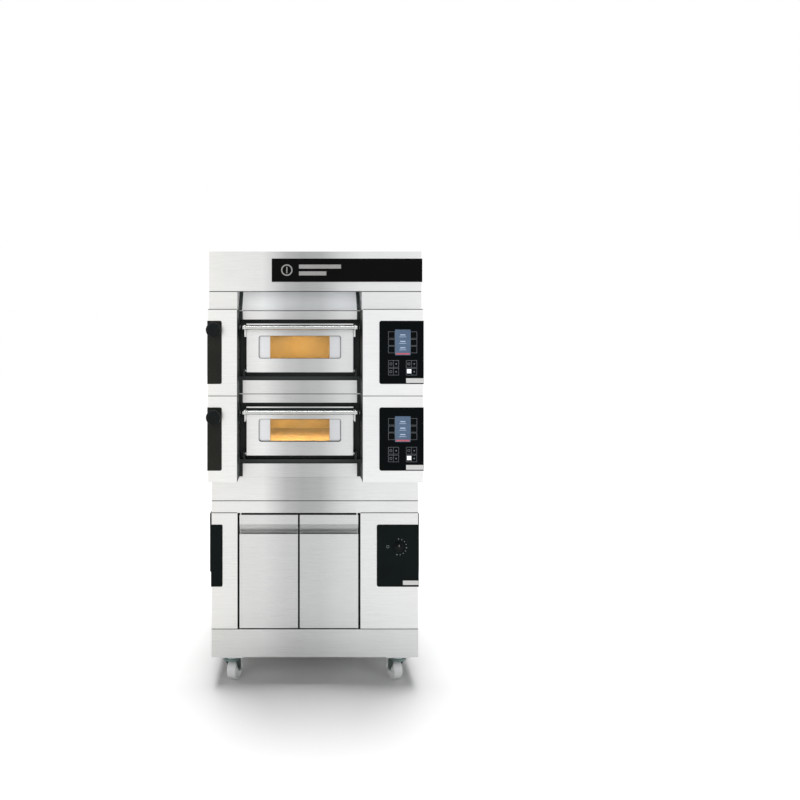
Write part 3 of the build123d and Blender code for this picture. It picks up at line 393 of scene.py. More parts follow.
nodeLooks = {
    "hood_filter": "plainSteel", "hood_flue_collar": "plainSteel",
    "hood_fan_motor": "coatingAndShade", "hood_fan_impeller": "plainSteel",
    "hood_sign_band": "sign", "hood_deflector": "hoodPlate",
    "control_displays": "display", "insulation_wool": "wool",
    "heating_elements": "sheath", "chamber_lamps": "lampGlow",
    "side_covers": "sideTray", "left_trim_panels": "trim", "cable_glands": "plastic",
    "prover_control_panel": "proverTrim", "prover_plinth": "proverSteel",
    "prover_left_door": "proverSteel", "prover_right_door": "proverSteel",
    "prover_tray_runners": "plainSteel", "prover_water_pan": "plainSteel",
    "prover_heater": "sheath", "prover_thermostat_knob": "plastic",
}
endings = {
    "door_panel": "doorSteel", "_front_panels": "recessSteel",
    "left_post": "postSteel", "right_post": "postSteel",
    "control_panel": "controlGlass", "baking_chamber": "enamel", "hearth_stone": "stone",
    "door_inner": "bezelSteel", "door_glass": "ovenGlass", "door_handle": "chrome",
    "steam_knob": "plastic", "caster_fork": "forkZinc", "caster_wheel": "nylon",
    "brake_pedal": "coatingAndShade", "caster_plates": "zinc",
}


def lookOf(node):
    if node in nodeLooks:
        return nodeLooks[node]
    for ending, look in endings.items():
        if node.endswith(ending):
            return look
    return "steel"


for nodeName, piece in frame["nodes"].items():
    piece.data.materials.clear()
    piece.data.materials.append(looks[lookOf(nodeName)])


# modelling helpers
def deselectAll():
    if bpy.context.object and bpy.context.object.mode != "OBJECT":
        bpy.ops.object.mode_set(mode="OBJECT")
    bpy.ops.object.select_all(action="DESELECT")


def makeActive(piece):
    deselectAll()
    piece.select_set(True)
    bpy.context.view_layer.objects.active = piece


def applyPlace(piece):
    makeActive(piece)
    bpy.ops.object.transform_apply(location=True, rotation=True, scale=True)


def applyBevel(piece, width, segments=2, angle=30):
    makeActive(piece)
    bpy.ops.object.modifier_add(type="BEVEL")
    bevel = piece.modifiers[-1]
    bevel.width = width
    bevel.segments = segments
    bevel.limit_method = "ANGLE"
    bevel.angle_limit = math.radians(angle)
    bpy.ops.object.modifier_apply(modifier=bevel.name)


def smoothByAngle(piece, angle=35, weighted=False):
    makeActive(piece)
    bpy.ops.object.shade_smooth_by_angle(angle=math.radians(angle))
    if weighted:  # keeps the flat faces flat beside their eased edges
        bpy.ops.object.modifier_add(type="WEIGHTED_NORMAL")
        piece.modifiers[-1].keep_sharp = True
        bpy.ops.object.modifier_apply(modifier=piece.modifiers[-1].name)


def softBlock(name, low, high, bevel=0.0008, segments=2):
    low, high = Vector(low), Vector(high)
    deselectAll()
    bpy.ops.mesh.primitive_cube_add(size=1, location=(low + high) / 2)
    piece = bpy.context.object
    piece.name = name
    piece.scale = high - low
    applyPlace(piece)
    applyBevel(piece, bevel, segments)
    smoothByAngle(piece, 50, True)
    return piece


# a round piece grown along its axis: each step is (distance along, radius)
def turnedPiece(name, steps, place=(0, 0, 0), axis=(0, 0, 1), sides=48):
    deselectAll()
    start, radius = steps[0]
    height = start
    bpy.ops.mesh.primitive_circle_add(vertices=sides, radius=radius, fill_type="NGON")
    piece = bpy.context.object
    piece.name = name
    bpy.ops.object.mode_set(mode="EDIT")
    bpy.ops.mesh.select_all(action="SELECT")
    for nextHeight, nextRadius in steps[1:]:
        bpy.ops.mesh.extrude_region_move(TRANSFORM_OT_translate={"value": (0, 0, nextHeight - height)})
        bpy.ops.transform.resize(value=(nextRadius / radius, nextRadius / radius, 1))
        height, radius = nextHeight, nextRadius
    bpy.ops.mesh.select_all(action="SELECT")
    bpy.ops.mesh.normals_make_consistent(inside=False)
    bpy.ops.object.mode_set(mode="OBJECT")
    piece.rotation_euler = Vector(axis).to_track_quat("Z", "Y").to_euler()
    piece.location = Vector(place) + Vector(axis).normalized() * start
    applyPlace(piece)
    smoothByAngle(piece)
    return piece


# thickens the flat mesh in edit mode along Y and turns its faces outwards
def raiseSheet(depth):
    bpy.ops.mesh.select_all(action="SELECT")
    bpy.ops.mesh.extrude_region_move(TRANSFORM_OT_translate={"value": (0, depth, 0)})
    bpy.ops.mesh.select_all(action="SELECT")
    bpy.ops.mesh.normals_make_consistent(inside=False)
    bpy.ops.object.mode_set(mode="OBJECT")


# flat outline on a panel that faces the front: a plane, inset, its middle deleted, then thickened
def outline(name, low, high, y, line, thickness=0.0004):
    deselectAll()
    centre = ((low[0] + high[0]) / 2, y, (low[1] + high[1]) / 2)
    bpy.ops.mesh.primitive_plane_add(size=1, location=centre, rotation=(math.pi / 2, 0, 0))
    piece = bpy.context.object
    piece.name = name
    piece.scale = (high[0] - low[0], high[1] - low[1], 1)
    applyPlace(piece)
    bpy.ops.object.mode_set(mode="EDIT")
    bpy.ops.mesh.select_all(action="SELECT")
    bpy.ops.mesh.inset(thickness=line)
    bpy.ops.mesh.delete(type="FACE")
    raiseSheet(-thickness)
    return piece


def joined(name, pieces):
    deselectAll()
    for piece in pieces:
        piece.select_set(True)
    bpy.context.view_layer.objects.active = pieces[0]
    if len(pieces) > 1:
        bpy.ops.object.join()
    whole = bpy.context.view_layer.objects.active
    whole.name = name
    whole.data.name = name
    return whole


def finishPiece(piece, look, body, slotName, *replacedNodes):
    piece.data.materials.clear()
    piece.data.materials.append(looks[look])
    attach(piece, body)
    if replacedNodes:
        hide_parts(*replacedNodes)
    return piece


# a CAD sheet's own copy with its sharp edges eased
def easedCopy(node, body, slotName, width):
    source = frame["nodes"][node]
    piece = bpy.data.objects.new(node.replace("_", "-") + "-eased", source.data.copy())
    bpy.context.scene.collection.objects.link(piece)
    makeActive(piece)
    bpy.ops.object.mode_set(mode="EDIT")
    bpy.ops.mesh.select_all(action="SELECT")
    bpy.ops.mesh.remove_doubles(threshold=0.00001)
    bpy.ops.mesh.dissolve_limited(angle_limit=math.radians(1))
    bpy.ops.object.mode_set(mode="OBJECT")
    applyBevel(piece, width, 2, 50)
    smoothByAngle(piece, 50, True)
    return finishPiece(piece, lookOf(node), body, slotName, node)


easedNodes = {"side_covers": ("black_trim", 0.0008), "left_trim_panels": ("black_trim", 0.0006)}
for deck in decks:
    easedNodes[f"{deck}_left_post"] = ("brushed_steel_skin", 0.0009)
    easedNodes[f"{deck}_right_post"] = ("brushed_steel_skin", 0.0009)
    easedNodes[f"{deck}_control_panel"] = ("control_glass", 0.0007)
for nodeName, (slotName, width) in easedNodes.items():
    sheet = easedCopy(nodeName, "root", slotName, width)
    if nodeName == "left_trim_panels":  # the prover's strip is blacker than those of the decks
        sheet.data.materials.append(looks["proverTrim"])
        for face in sheet.data.polygons:
            face.material_index = int(face.center.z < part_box("spacer_base")[0].z)

# door skins: the fold that slopes back to the top lip gets a painted dark reflection and shade
foldReach = 0.020
for deck in decks:
    skin = easedCopy(f"{deck}_door_panel", f"{deck}_door", "brushed_steel_skin", 0.0004)
    skin.data.materials.append(looks["foldShade"])
    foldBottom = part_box(f"{deck}_door_panel")[1].z - foldReach
    for face in skin.data.polygons:
        slopesBack = face.normal.z > 0.2 and face.normal.y < -0.3
        face.material_index = int(slopesBack and face.center.z > foldBottom)
print("sheets eased")

# handle: chrome tube with black bushes and small caps on two flat arms
handle = {
    "radius": 0.010, "axisHeight": 0.043, "capLength": 0.006,
    "bushLength": 0.010, "bushRadius": 0.012, "armWidth": 0.005, "armEase": 0.0012,
    "cap": ((0, 1.0), (0.5, 0.98), (0.85, 0.8), (1.0, 0.45)),
    "bush": (
        (0, 0.0101), (0, 0.0116), (0.001, 0.012), (0.0042, 0.012), (0.0046, 0.0108),
        (0.0056, 0.0108), (0.006, 0.012), (0.009, 0.012), (0.010, 0.0116), (0.010, 0.0101),
    ),
    "collar": ((0, 0.0115), (0.0006, 0.014), (0.0044, 0.014), (0.005, 0.0115)),
    "screwHead": ((0, 0.0042), (0.0012, 0.0042), (0.0022, 0.0032), (0.0024, 0.0015)),
    "screwInset": 0.012,
}


def makeHandleArm(deck, side, y, z):
    low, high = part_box(f"{deck}_door_handle")
    doorLow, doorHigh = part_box(f"{deck}_door_panel")
    outward = (side, 0, 0)
    face = doorLow.x if side < 0 else doorHigh.x
    far = face + side * handle["armWidth"]
    armLow = (min(face, far), y + handle["radius"] * 0.6, low.z)
    arm = [softBlock("arm", armLow, (max(face, far), high.y, high.z), handle["armEase"], 3)]
    arm.append(turnedPiece("armEye", handle["collar"], (face, y, z), outward, 32))
    inset = handle["screwInset"]
    for screwZ in (low.z + inset, high.z - inset):
        arm.append(turnedPiece("armScrew", handle["screwHead"], (far, high.y - inset, screwZ), outward, 20))
    return arm


def makeHandle(deck):
    low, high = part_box(f"{deck}_door_handle")
    body = f"{deck}_door"
    radius, capLength, bushLength = handle["radius"], handle["capLength"], handle["bushLength"]
    y, z = low.y + handle["bushRadius"], low.z + handle["axisHeight"]
    ends = capLength + bushLength
    start, stop = low.x + ends, high.x - ends
    bar = [(start, radius * 0.8), (start, radius), (stop, radius), (stop, radius * 0.8)]
    caps, bushes, arms = [turnedPiece(f"{deck}-handle-tube", bar, (0, y, z), (1, 0, 0), 40)], [], []
    for side, edge in ((-1, low.x), (1, high.x)):
        inner = edge - side * capLength
        outward = (side, 0, 0)
        cap = [(share * capLength, size * radius) for share, size in handle["cap"]]
        caps.append(turnedPiece("cap", cap, (inner, y, z), outward, 32))
        bushes.append(turnedPiece("bush", handle["bush"], (inner - side * bushLength, y, z), outward, 32))
        arms += makeHandleArm(deck, side, y, z)
    finishPiece(joined(f"{deck}-handle-bar", caps), "chrome", body, "chrome_bar", f"{deck}_door_handle")
    finishPiece(joined(f"{deck}-handle-bushes", bushes), "plastic", body, "black_plastic")
    finishPiece(joined(f"{deck}-handle-arms", arms), "steel", body, "brushed_steel_skin")


for deck in decks:
    makeHandle(deck)
print("handles made")

# pull knob: domed grip with a finger groove, neck, rod and valve disc
knob = {
    "neck": 0.014, "rod": 0.006, "disc": 0.024, "discThickness": 0.003, "neckEnd": 0.0448,
    "grip": (
        (0.0015, 0.25), (0, 0.6), (0.0006, 0.82), (0.003, 0.96), (0.006, 1.0),
        (0.010, 1.0), (0.012, 0.94), (0.0165, 0.9), (0.020, 0.7),
    ),
}


def makeSteamKnob(deck):
    low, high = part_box(f"{deck}_steam_knob")
    x, z = (low.x + high.x) / 2, (low.z + high.z) / 2
    length = high.y - low.y
    grip = (high.x - low.x) / 2
    discFront = length - knob["discThickness"]
    steps = [(place, grip * share) for place, share in knob["grip"]]
    steps += [(0.022, knob["neck"]), (knob["neckEnd"], knob["neck"] * 1.05)]
    steps += [(knob["neckEnd"] + 0.0001, knob["rod"]), (discFront, knob["rod"])]
    steps += [(discFront, knob["disc"]), (length, knob["disc"])]
    piece = turnedPiece(f"{deck}-steam-knob", steps, (x, low.y, z), (0, 1, 0), 64)
    finishPiece(piece, "plastic", f"{deck}_steam_valve", "black_plastic", f"{deck}_steam_knob")


for deck in decks:
    makeSteamKnob(deck)

# touch panel print, measured from the panel's lower left corner
panel = {
    "keyColumns": ((0.041, 0.0725), (0.144, 0.1745)),
    "keyRows": ((0.212, 0.2435), (0.179, 0.208), (0.144, 0.176)),
    "groupColumns": ((0.041, 0.090), (0.124, 0.174)),
    "groupRows": ((0.077, 0.110), (0.041, 0.073)),
    "litKey": ((0.128, 0.050), (0.1475, 0.069)),
    "litCorner": (0.124, 0.041),
    "label": ((0.124, 0.005), (0.205, 0.027)),
    "line": 0.0011, "iconLine": 0.0014, "iconSize": 0.0055, "dotRadius": 0.00315, "proud": 0.0004,
}


def flatPatch(name, corner, low, high, thickness=0.0005):
    first = (corner.x + low[0], corner.y - thickness, corner.z + low[1])
    second = (corner.x + high[0], corner.y, corner.z + high[1])
    return softBlock(name, first, second, thickness * 0.3, 1)


# outline between two points of a panel, given from the panel's corner
def panelOutline(name, corner, low, high, line):
    first = (corner.x + low[0], corner.z + low[1])
    second = (corner.x + high[0], corner.z + high[1])
    return outline(name, first, second, corner.y, line)


def makeControlPrint(deck):
    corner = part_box(f"{deck}_control_panel")[0]
    line, icon, dot = panel["line"], panel["iconSize"], panel["dotRadius"]
    lines = []
    for x0, x1 in panel["keyColumns"]:
        for z0, z1 in panel["keyRows"]:
            lines.append(panelOutline("key", corner, (x0, z0), (x1, z1), line))
    for x0, x1 in panel["groupColumns"]:
        middle = (x0 + x1) / 2
        for z0, z1 in panel["groupRows"]:
            lines.append(panelOutline("group", corner, (x0, z0), (x1, z1), line))
            lines.append(flatPatch("divider", corner, (middle - line / 2, z0), (middle + line / 2, z1)))
            level = (z0 + z1) / 2
            left, right = (x0 + middle) / 2, (middle + x1) / 2
            if (x0, z0) != panel["litCorner"]:
                low, high = (left - icon, level - icon), (left + icon, level + icon)
                lines.append(panelOutline("icon", corner, low, high, panel["iconLine"]))
            place = (corner.x + right, corner.y, corner.z + level)
            lines.append(turnedPiece("dot", [(0, dot), (panel["proud"], dot)], place, (0, -1, 0), 20))
    finishPiece(joined(f"{deck}-panel-print", lines), "print", "root", "control_glass")
    lit = flatPatch("lit", corner, *panel["litKey"])
    finishPiece(joined(f"{deck}-lit-key", [lit]), "ledWhite", "root", "display")
    label = flatPatch("label", corner, *panel["label"])
    finishPiece(joined(f"{deck}-blank-label", [label]), "label", "root", "nylon")


# generic read-out: three rows of two bars, and one bar at the foot
screen = {
    "left": 0.0725, "bottom": 0.134, "proud": 0.0008, "markProud": 0.0003,
    "rows": 3, "rowPitch": 0.030, "topRow": 0.092,
    "thick": ((0.024, 0.0), (0.048, 0.0045)), "thin": ((0.020, -0.008), (0.052, -0.006)),
    "foot": ((0.004, 0.003), (0.068, 0.010)),
}


def screenBar(name, corner, bar, height=0.0):
    first, second = [(screen["left"] + x, height + screen["bottom"] + z) for x, z in bar]
    return flatPatch(name, corner, first, second, screen["markProud"])


def makeScreen(deck):
    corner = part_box(f"{deck}_control_panel")[0].copy()
    corner.y -= screen["proud"]
    marks = []
    for row in range(screen["rows"]):
        height = screen["topRow"] - row * screen["rowPitch"]
        marks.append(screenBar("mark", corner, screen["thick"], height))
        marks.append(screenBar("mark", corner, screen["thin"], height))
    finishPiece(joined(f"{deck}-screen-marks", marks), "screenLine", "root", "display")
    foot = screenBar("bar", corner, screen["foot"])
    finishPiece(joined(f"{deck}-screen-bar", [foot]), "screenRed", "root", "display")


for deck in decks:
    makeControlPrint(deck)
    makeScreen(deck)
print("control panels printed")

# prover panel: dot scale round the knob, small mark and blank label
dial = {
    "radius": 0.0385, "dots": 9, "turn": 24, "dotSize": 0.0024, "longDotEvery": 4,
    "knobX": 0.405, "knobZ": 0.673, "mark": (0.353, 0.674), "markSize": 0.006, "markLine": 0.0016,
    "labelLeft": 0.426, "labelBottom": 0.489, "labelTop": 0.510, "proud": 0.0005,
}


def makeProverPanel():
    low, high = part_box("prover_control_panel")
    dots = []
    for index in range(dial["dots"]):
        angle = math.radians(90 - index * dial["turn"])
        x = dial["knobX"] + dial["radius"] * math.cos(angle)
        z = dial["knobZ"] + dial["radius"] * math.sin(angle)
        size = dial["dotSize"] * (1.3 if index % dial["longDotEvery"] == 0 else 1)
        steps = [(0, size), (dial["proud"], size * 0.9)]
        dots.append(turnedPiece("dot", steps, (x, low.y, z), (0, -1, 0), 16))
    x, z = dial["mark"]
    half = dial["markSize"]
    dots.append(outline("mark", (x - half, z - half), (x + half, z + half), low.y, dial["markLine"]))
    finishPiece(joined("prover-dial-scale", dots), "print", "root", "black_plastic")
    first = (dial["labelLeft"], low.y - dial["proud"], dial["labelBottom"])
    label = softBlock("label", first, (high.x - 0.001, low.y, dial["labelTop"]), 0.0002, 1)
    finishPiece(joined("prover-blank-label", [label]), "label", "root", "nylon")


# thermostat knob: a stepped grip with ribs round it and a pointer on its face
thermostat = {
    "grip": (
        (0.001, 0.2), (0, 0.55), (0.0004, 0.74), (0.003, 0.8), (0.012, 0.86),
        (0.0135, 0.98), (0.0155, 1.0), (0.018, 1.0),
    ),
    "shaft": 0.003, "ribs": 18, "ribCircle": 0.83,
    "rib": ((0.002, 0.0008), (0.0024, 0.0013), (0.012, 0.0016), (0.0128, 0.0010)),
    "pointerWidth": 0.0016, "pointerFrom": 0.3, "pointerTo": 0.72,
}


def makeThermostatKnob():
    low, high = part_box("prover_thermostat_knob")
    radius = (high.x - low.x) / 2
    x, z = (low.x + high.x) / 2, (low.z + high.z) / 2
    steps = [(place, radius * share) for place, share in thermostat["grip"]]
    steps += [(steps[-1][0], thermostat["shaft"]), (high.y - low.y, thermostat["shaft"])]
    parts = [turnedPiece("knob", steps, (x, low.y, z), (0, 1, 0), 64)]
    circle = radius * thermostat["ribCircle"]
    for index in range(thermostat["ribs"]):
        angle = index * math.tau / thermostat["ribs"]
        place = (x + circle * math.cos(angle), low.y, z + circle * math.sin(angle))
        parts.append(turnedPiece("rib", thermostat["rib"], place, (0, 1, 0), 10))
    grip = joined("thermostat-grip", parts)
    finishPiece(grip, "plastic", "thermostat", "black_plastic", "prover_thermostat_knob")
    half = thermostat["pointerWidth"] / 2
    first = (x - half, low.y - 0.0002, z + radius * thermostat["pointerFrom"])
    second = (x + half, low.y + 0.002, z + radius * thermostat["pointerTo"])
    pointer = softBlock("pointer", first, second, 0.0003, 1)
    finishPiece(joined("thermostat-pointer", [pointer]), "label", "thermostat", "nylon")


makeProverPanel()
makeThermostatKnob()

# sign band: a plain ring with a stem and two plain bars in place of any mark
emblem = {
    "centre": (-0.134, 2.003), "radius": 0.027, "proud": 0.001, "ringLine": 0.22,
    "stemWidth": 0.09, "stemHeight": 0.55,
    "bars": ((-0.077, 2.010, 0.121, 2.029), (-0.077, 1.978, 0.052, 1.997)),
}


def makeEmblem():
    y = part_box("hood_sign_band")[0].y
    front = y - emblem["proud"]
    x, z = emblem["centre"]
    radius = emblem["radius"]
    deselectAll()
    upright = (math.pi / 2, 0, 0)
    place = {"location": (x, y, z), "rotation": upright}
    bpy.ops.mesh.primitive_circle_add(vertices=64, radius=radius, fill_type="NGON", **place)
    ring = bpy.context.object
    applyPlace(ring)
    bpy.ops.object.mode_set(mode="EDIT")
    bpy.ops.mesh.select_all(action="SELECT")
    bpy.ops.mesh.inset(thickness=radius * emblem["ringLine"])
    bpy.ops.mesh.delete(type="FACE")
    raiseSheet(-emblem["proud"])
    wide, tall = radius * emblem["stemWidth"], radius * emblem["stemHeight"]
    parts = [ring, softBlock("stem", (x - wide, front, z - tall), (x + wide, y, z + tall), 0.0002, 1)]
    for x0, z0, x1, z1 in emblem["bars"]:
        parts.append(softBlock("bar", (x0, front, z0), (x1, y, z1), 0.0003, 1))
    finishPiece(joined("plain-emblem", parts), "emblem", "root", "plain_steel")


makeEmblem()
print("knobs and marks made")

# casters: moulded wheel with a hub recess each side, and hex nuts on the axle
caster = {
    "width": 0.046, "radius": 0.050, "hub": 0.016, "bore": 0.0062, "recess": 0.008, "nutOut": 0.029,
    "tyre": ((0.008, 0.74), (0.001, 0.8), (0.0, 0.84), (0.001, 0.93), (0.004, 0.985), (0.009, 1.0)),
    "nut": ((0, 0.0085), (0.0008, 0.009), (0.0048, 0.009), (0.0058, 0.0075)),
}
corners = ("front_left", "front_right", "rear_left", "rear_right")


def makeCaster(corner):
    spin = joints[f"{corner}_wheel_spin"]
    place, axis = Vector(spin["pos_m"]), Vector(spin["axis"]).normalized()
    half, radius = caster["width"] / 2, caster["radius"]
    hub = caster["hub"]
    side = [(-half + 0.001, caster["bore"]), (-half + 0.001, hub * 0.8)]
    side += [(-half + 0.0015, hub), (-half + caster["recess"], hub + 0.001)]
    side += [(-half + inward, radius * share) for inward, share in caster["tyre"]]
    steps = side + [(-advance, size) for advance, size in reversed(side)]
    wheel = turnedPiece(f"{corner}-wheel", steps, place, axis, 64)
    finishPiece(wheel, "nylon", f"{corner}_wheel", "nylon", f"{corner}_caster_wheel")
    nuts = []
    for way in (-1, 1):
        outer = place + axis * way * caster["nutOut"]
        nuts.append(turnedPiece("nut", caster["nut"], outer, axis * way, 6))
    finishPiece(joined(f"{corner}-axle-nuts", nuts), "zinc", f"{corner}_swivel", "zinc_plate")


for corner in corners:
    makeCaster(corner)
print("casters made")

# button-head screws in rows on the casing sheets, and a ring round the flue collar
screw = {
    "radius": 0.0045, "height": 0.0024, "edge": 0.016,
    "flueCircle": 0.085, "flueCount": 6, "flueFlange": 0.002,
    "head": ((0, 1.0), (0.3, 1.0), (0.8, 0.75), (1.0, 0.4), (0.5, 0.36)),
    "backColumns": (-0.48, -0.24, 0, 0.24, 0.48), "roofColumns": (-0.48, -0.16, 0.16, 0.48),
    "flankSetbacks": (0.03, 0.32, 0.6), "frontSetback": 0.12, "roofSetback": 0.03, "flank": 0.5,
}
modules = ("upper_casing", "lower_casing", "spacer_base", "prover_casing", "hood_shell")


def screwRow(name, places, axis):
    head = [(share * screw["height"], size * screw["radius"]) for share, size in screw["head"]]
    parts = [turnedPiece("screw", head, place, axis, 14) for place in places]
    finishPiece(joined(name, parts), "zinc", "root", "zinc_plate")


def makeModuleScrews():
    backPlaces, flankPlaces = [], {-1: [], 1: []}
    for node in modules:
        low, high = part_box(node)
        levels = (low.z + screw["edge"], high.z - screw["edge"])
        backPlaces += [(x, high.y, z) for x in screw["backColumns"] for z in levels]
        rows = [high.y - setback for setback in screw["flankSetbacks"]] + [low.y + screw["frontSetback"]]
        for side, places in flankPlaces.items():
            places += [(screw["flank"] * side, y, z) for y in rows for z in levels]
    screwRow("back-screws", backPlaces, (0, 1, 0))
    screwRow("left-flank-screws", flankPlaces[-1], (-1, 0, 0))
    screwRow("right-flank-screws", flankPlaces[1], (1, 0, 0))


def makeRoofScrews():
    low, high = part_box("hood_shell")
    rows = (low.y + screw["roofSetback"], high.y - screw["roofSetback"])
    screwRow("roof-screws", [(x, y, high.z) for x in screw["roofColumns"] for y in rows], (0, 0, 1))
    flueLow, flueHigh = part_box("hood_flue_collar")
    flueY = (flueLow.y + flueHigh.y) / 2
    ring = []
    for step in range(screw["flueCount"]):
        angle = step * math.tau / screw["flueCount"]
        x, y = screw["flueCircle"] * math.cos(angle), flueY + screw["flueCircle"] * math.sin(angle)
        ring.append((x, y, high.z + screw["flueFlange"]))
    screwRow("flue-screws", ring, (0, 0, 1))


makeModuleScrews()
makeRoofScrews()


# rope seal round the back of each baking door
doorSeal = {"side": 0.011, "bottom": 0.012, "top": 0.006, "width": 0.008, "depth": 0.002, "ease": 0.0007}


def makeDoorSeal(deck):
    low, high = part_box(f"{deck}_door_inner")
    panelLow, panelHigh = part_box(f"{deck}_door_panel")
    left, right = panelLow.x + doorSeal["side"], panelHigh.x - doorSeal["side"]
    bottom, top = low.z + doorSeal["bottom"], high.z - doorSeal["top"]
    y0, y1 = high.y, high.y + doorSeal["depth"]
    width, ease = doorSeal["width"], doorSeal["ease"]
    strips = [
        softBlock("seal", (left, y0, bottom), (right, y1, bottom + width), ease),
        softBlock("seal", (left, y0, top - width), (right, y1, top), ease),
        softBlock("seal", (left, y0, bottom), (left + width, y1, top), ease),
        softBlock("seal", (right - width, y0, bottom), (right, y1, top), ease),
    ]
    finishPiece(joined(f"{deck}-door-seal", strips), "wool", f"{deck}_door", "mineral_wool")


# rubber seals of the prover, dark also as painted shade in the door gaps: one on each wall of its mouth, one
# down the meeting edge of the left door
proverSeal = {"reach": 0.017, "depth": 0.0022, "setback": 0.008, "margin": 0.006, "ease": 0.0007}


def makeProverSealsAndGapShade():
    leftLow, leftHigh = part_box("prover_left_door")
    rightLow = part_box("prover_right_door")[0]
    mouthLeft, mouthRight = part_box("prover_tray_runners")[0].x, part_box("prover_tray_runners")[1].x
    bottom, top = leftLow.z + proverSeal["margin"], leftHigh.z - proverSeal["margin"]
    y = leftHigh.y + proverSeal["setback"]
    reach, depth, ease = proverSeal["reach"], proverSeal["depth"], proverSeal["ease"]
    strips = []
    for x0, x1 in ((mouthLeft, mouthLeft + reach), (mouthRight - reach, mouthRight)):
        strips.append(softBlock("seal", (x0, y, bottom), (x1, y + depth, top), ease))
    finishPiece(joined("prover-mouth-seals-gap-shade", strips), "rubber", "root", "black_plastic")
    first = (leftHigh.x - reach, leftHigh.y - 0.0002, bottom)
    edge = softBlock("seal", first, (rightLow.x - 0.0006, leftHigh.y + depth, top), ease)
    finishPiece(joined("prover-meeting-seal-gap-shade", [edge]), "rubber", "prover_door_left", "black_plastic")


makeProverSealsAndGapShade()

# dark gasket round the window opening of each door
window = {
    "width": 0.399, "height": 0.1105, "bottom": 0.0675, "radius": 0.012,
    "line": 0.0018, "depth": 0.011, "setback": 0.0015,
}


def makeWindowGasket(deck):
    low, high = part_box(f"{deck}_door_panel")
    level = low.z + window["bottom"] + window["height"] / 2
    centre = ((low.x + high.x) / 2, low.y + window["setback"], level)
    deselectAll()
    bpy.ops.mesh.primitive_plane_add(size=1, location=centre, rotation=(math.pi / 2, 0, 0))
    gasket = bpy.context.object
    gasket.scale = (window["width"], window["height"], 1)
    applyPlace(gasket)
    bpy.ops.object.mode_set(mode="EDIT")
    bpy.ops.mesh.select_all(action="SELECT")
    bpy.ops.mesh.bevel(offset=window["radius"], offset_pct=0, segments=6, affect="VERTICES")
    bpy.ops.mesh.select_all(action="SELECT")
    bpy.ops.mesh.inset(thickness=window["line"])
    bpy.ops.mesh.delete(type="FACE")
    raiseSheet(window["depth"])
    finishPiece(joined(f"{deck}-window-gasket", [gasket]), "rubber", f"{deck}_door", "black_plastic")


for deck in decks:
    makeDoorSeal(deck)
    makeWindowGasket(deck)
print("screws and seals made")

# painted shadow: dark strips in the seams between the modules, standing for the shade in the gaps
seam = {
    "height": 0.0032, "below": 0.00096, "proud": 0.0003, "depth": 0.0012, "inset": 0.0006,
    "fasciaDrop": 0.046, "railHeight": 0.058, "doorGaps": (0.010, 0.011), "recessInset": 0.016,
}


def makeSeams():
    leftPostLow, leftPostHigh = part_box("upper_left_post")
    rightPostLow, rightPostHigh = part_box("upper_right_post")
    posts, fascia = leftPostLow.y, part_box("hood_shell")[0].y
    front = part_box("prover_front_frame")[0].y
    left, right = leftPostLow.x, rightPostHigh.x
    gapLeft, gapRight = leftPostHigh.x, rightPostLow.x
    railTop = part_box("prover_casing")[1].z - seam["railHeight"]
    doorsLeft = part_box("prover_left_door")[0].x - seam["doorGaps"][0]
    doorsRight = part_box("prover_right_door")[1].x + seam["doorGaps"][1]
    rows = [
        (left, right, front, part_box("spacer_base")[0].z),
        (left, right, front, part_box("prover_plinth")[1].z),
        (left, right, fascia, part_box("hood_sign_band")[0].z - seam["fasciaDrop"]),
        (left, doorsLeft, front, railTop),
        (doorsRight, right, front, railTop),
    ]
    for deck in decks:
        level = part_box(f"{deck}_left_post")[1].z
        rows += [(left, gapLeft, posts, level), (gapRight, right, posts, level)]
        rows += [(gapLeft + seam["recessInset"], gapRight - seam["recessInset"], front, level)]
    strips = []
    for x0, x1, y, z in rows:
        first = (x0 + seam["inset"], y - seam["proud"], z - seam["below"])
        second = (x1 - seam["inset"], y + seam["depth"], z + seam["height"] - seam["below"])
        strips.append(softBlock("seam", first, second, 0.0002, 1))
    finishPiece(joined("module-seam-shadow-strips", strips), "rubber", "root", "black_plastic")


makeSeams()

# floor, light and camera
light = {
    "fill": 0.2, "mirrored": 0.97, "backdrop": 1.0, "bounce": 0.8, "left": 45, "right": 40,
    "sun": 3.3, "sunAngle": 32, "sunTilt": -8, "hood": 0.35, "chamber": 3.8,
}
tints = {
    "warm": (1.0, 0.985, 0.955), "cool": (0.96, 0.98, 1.0),
    "white": (1.0, 1.0, 1.0), "amber": (1.0, 0.68, 0.3),
}
studio = {
    "cameraBack": 3.0, "cameraX": -0.072, "cameraZ": 1.655, "lens": 29.03, "shiftX": 0.125, "shiftY": -0.070,
    "aim": (0, 0, 1.2), "leftBox": (-3.8, -4.6, 2.6), "leftSize": (2.6, 3.2),
    "rightBox": (4.2, -4.2, 2.4), "rightSize": (2.4, 3.0), "floorSize": 60,
    "mouthSetback": 0.035, "mouthDrop": 0.025, "mouthSize": (0.56, 0.05),
    "chamberForward": 0.05, "chamberHeight": 0.135, "chamberSize": (0.42, 0.5),
}


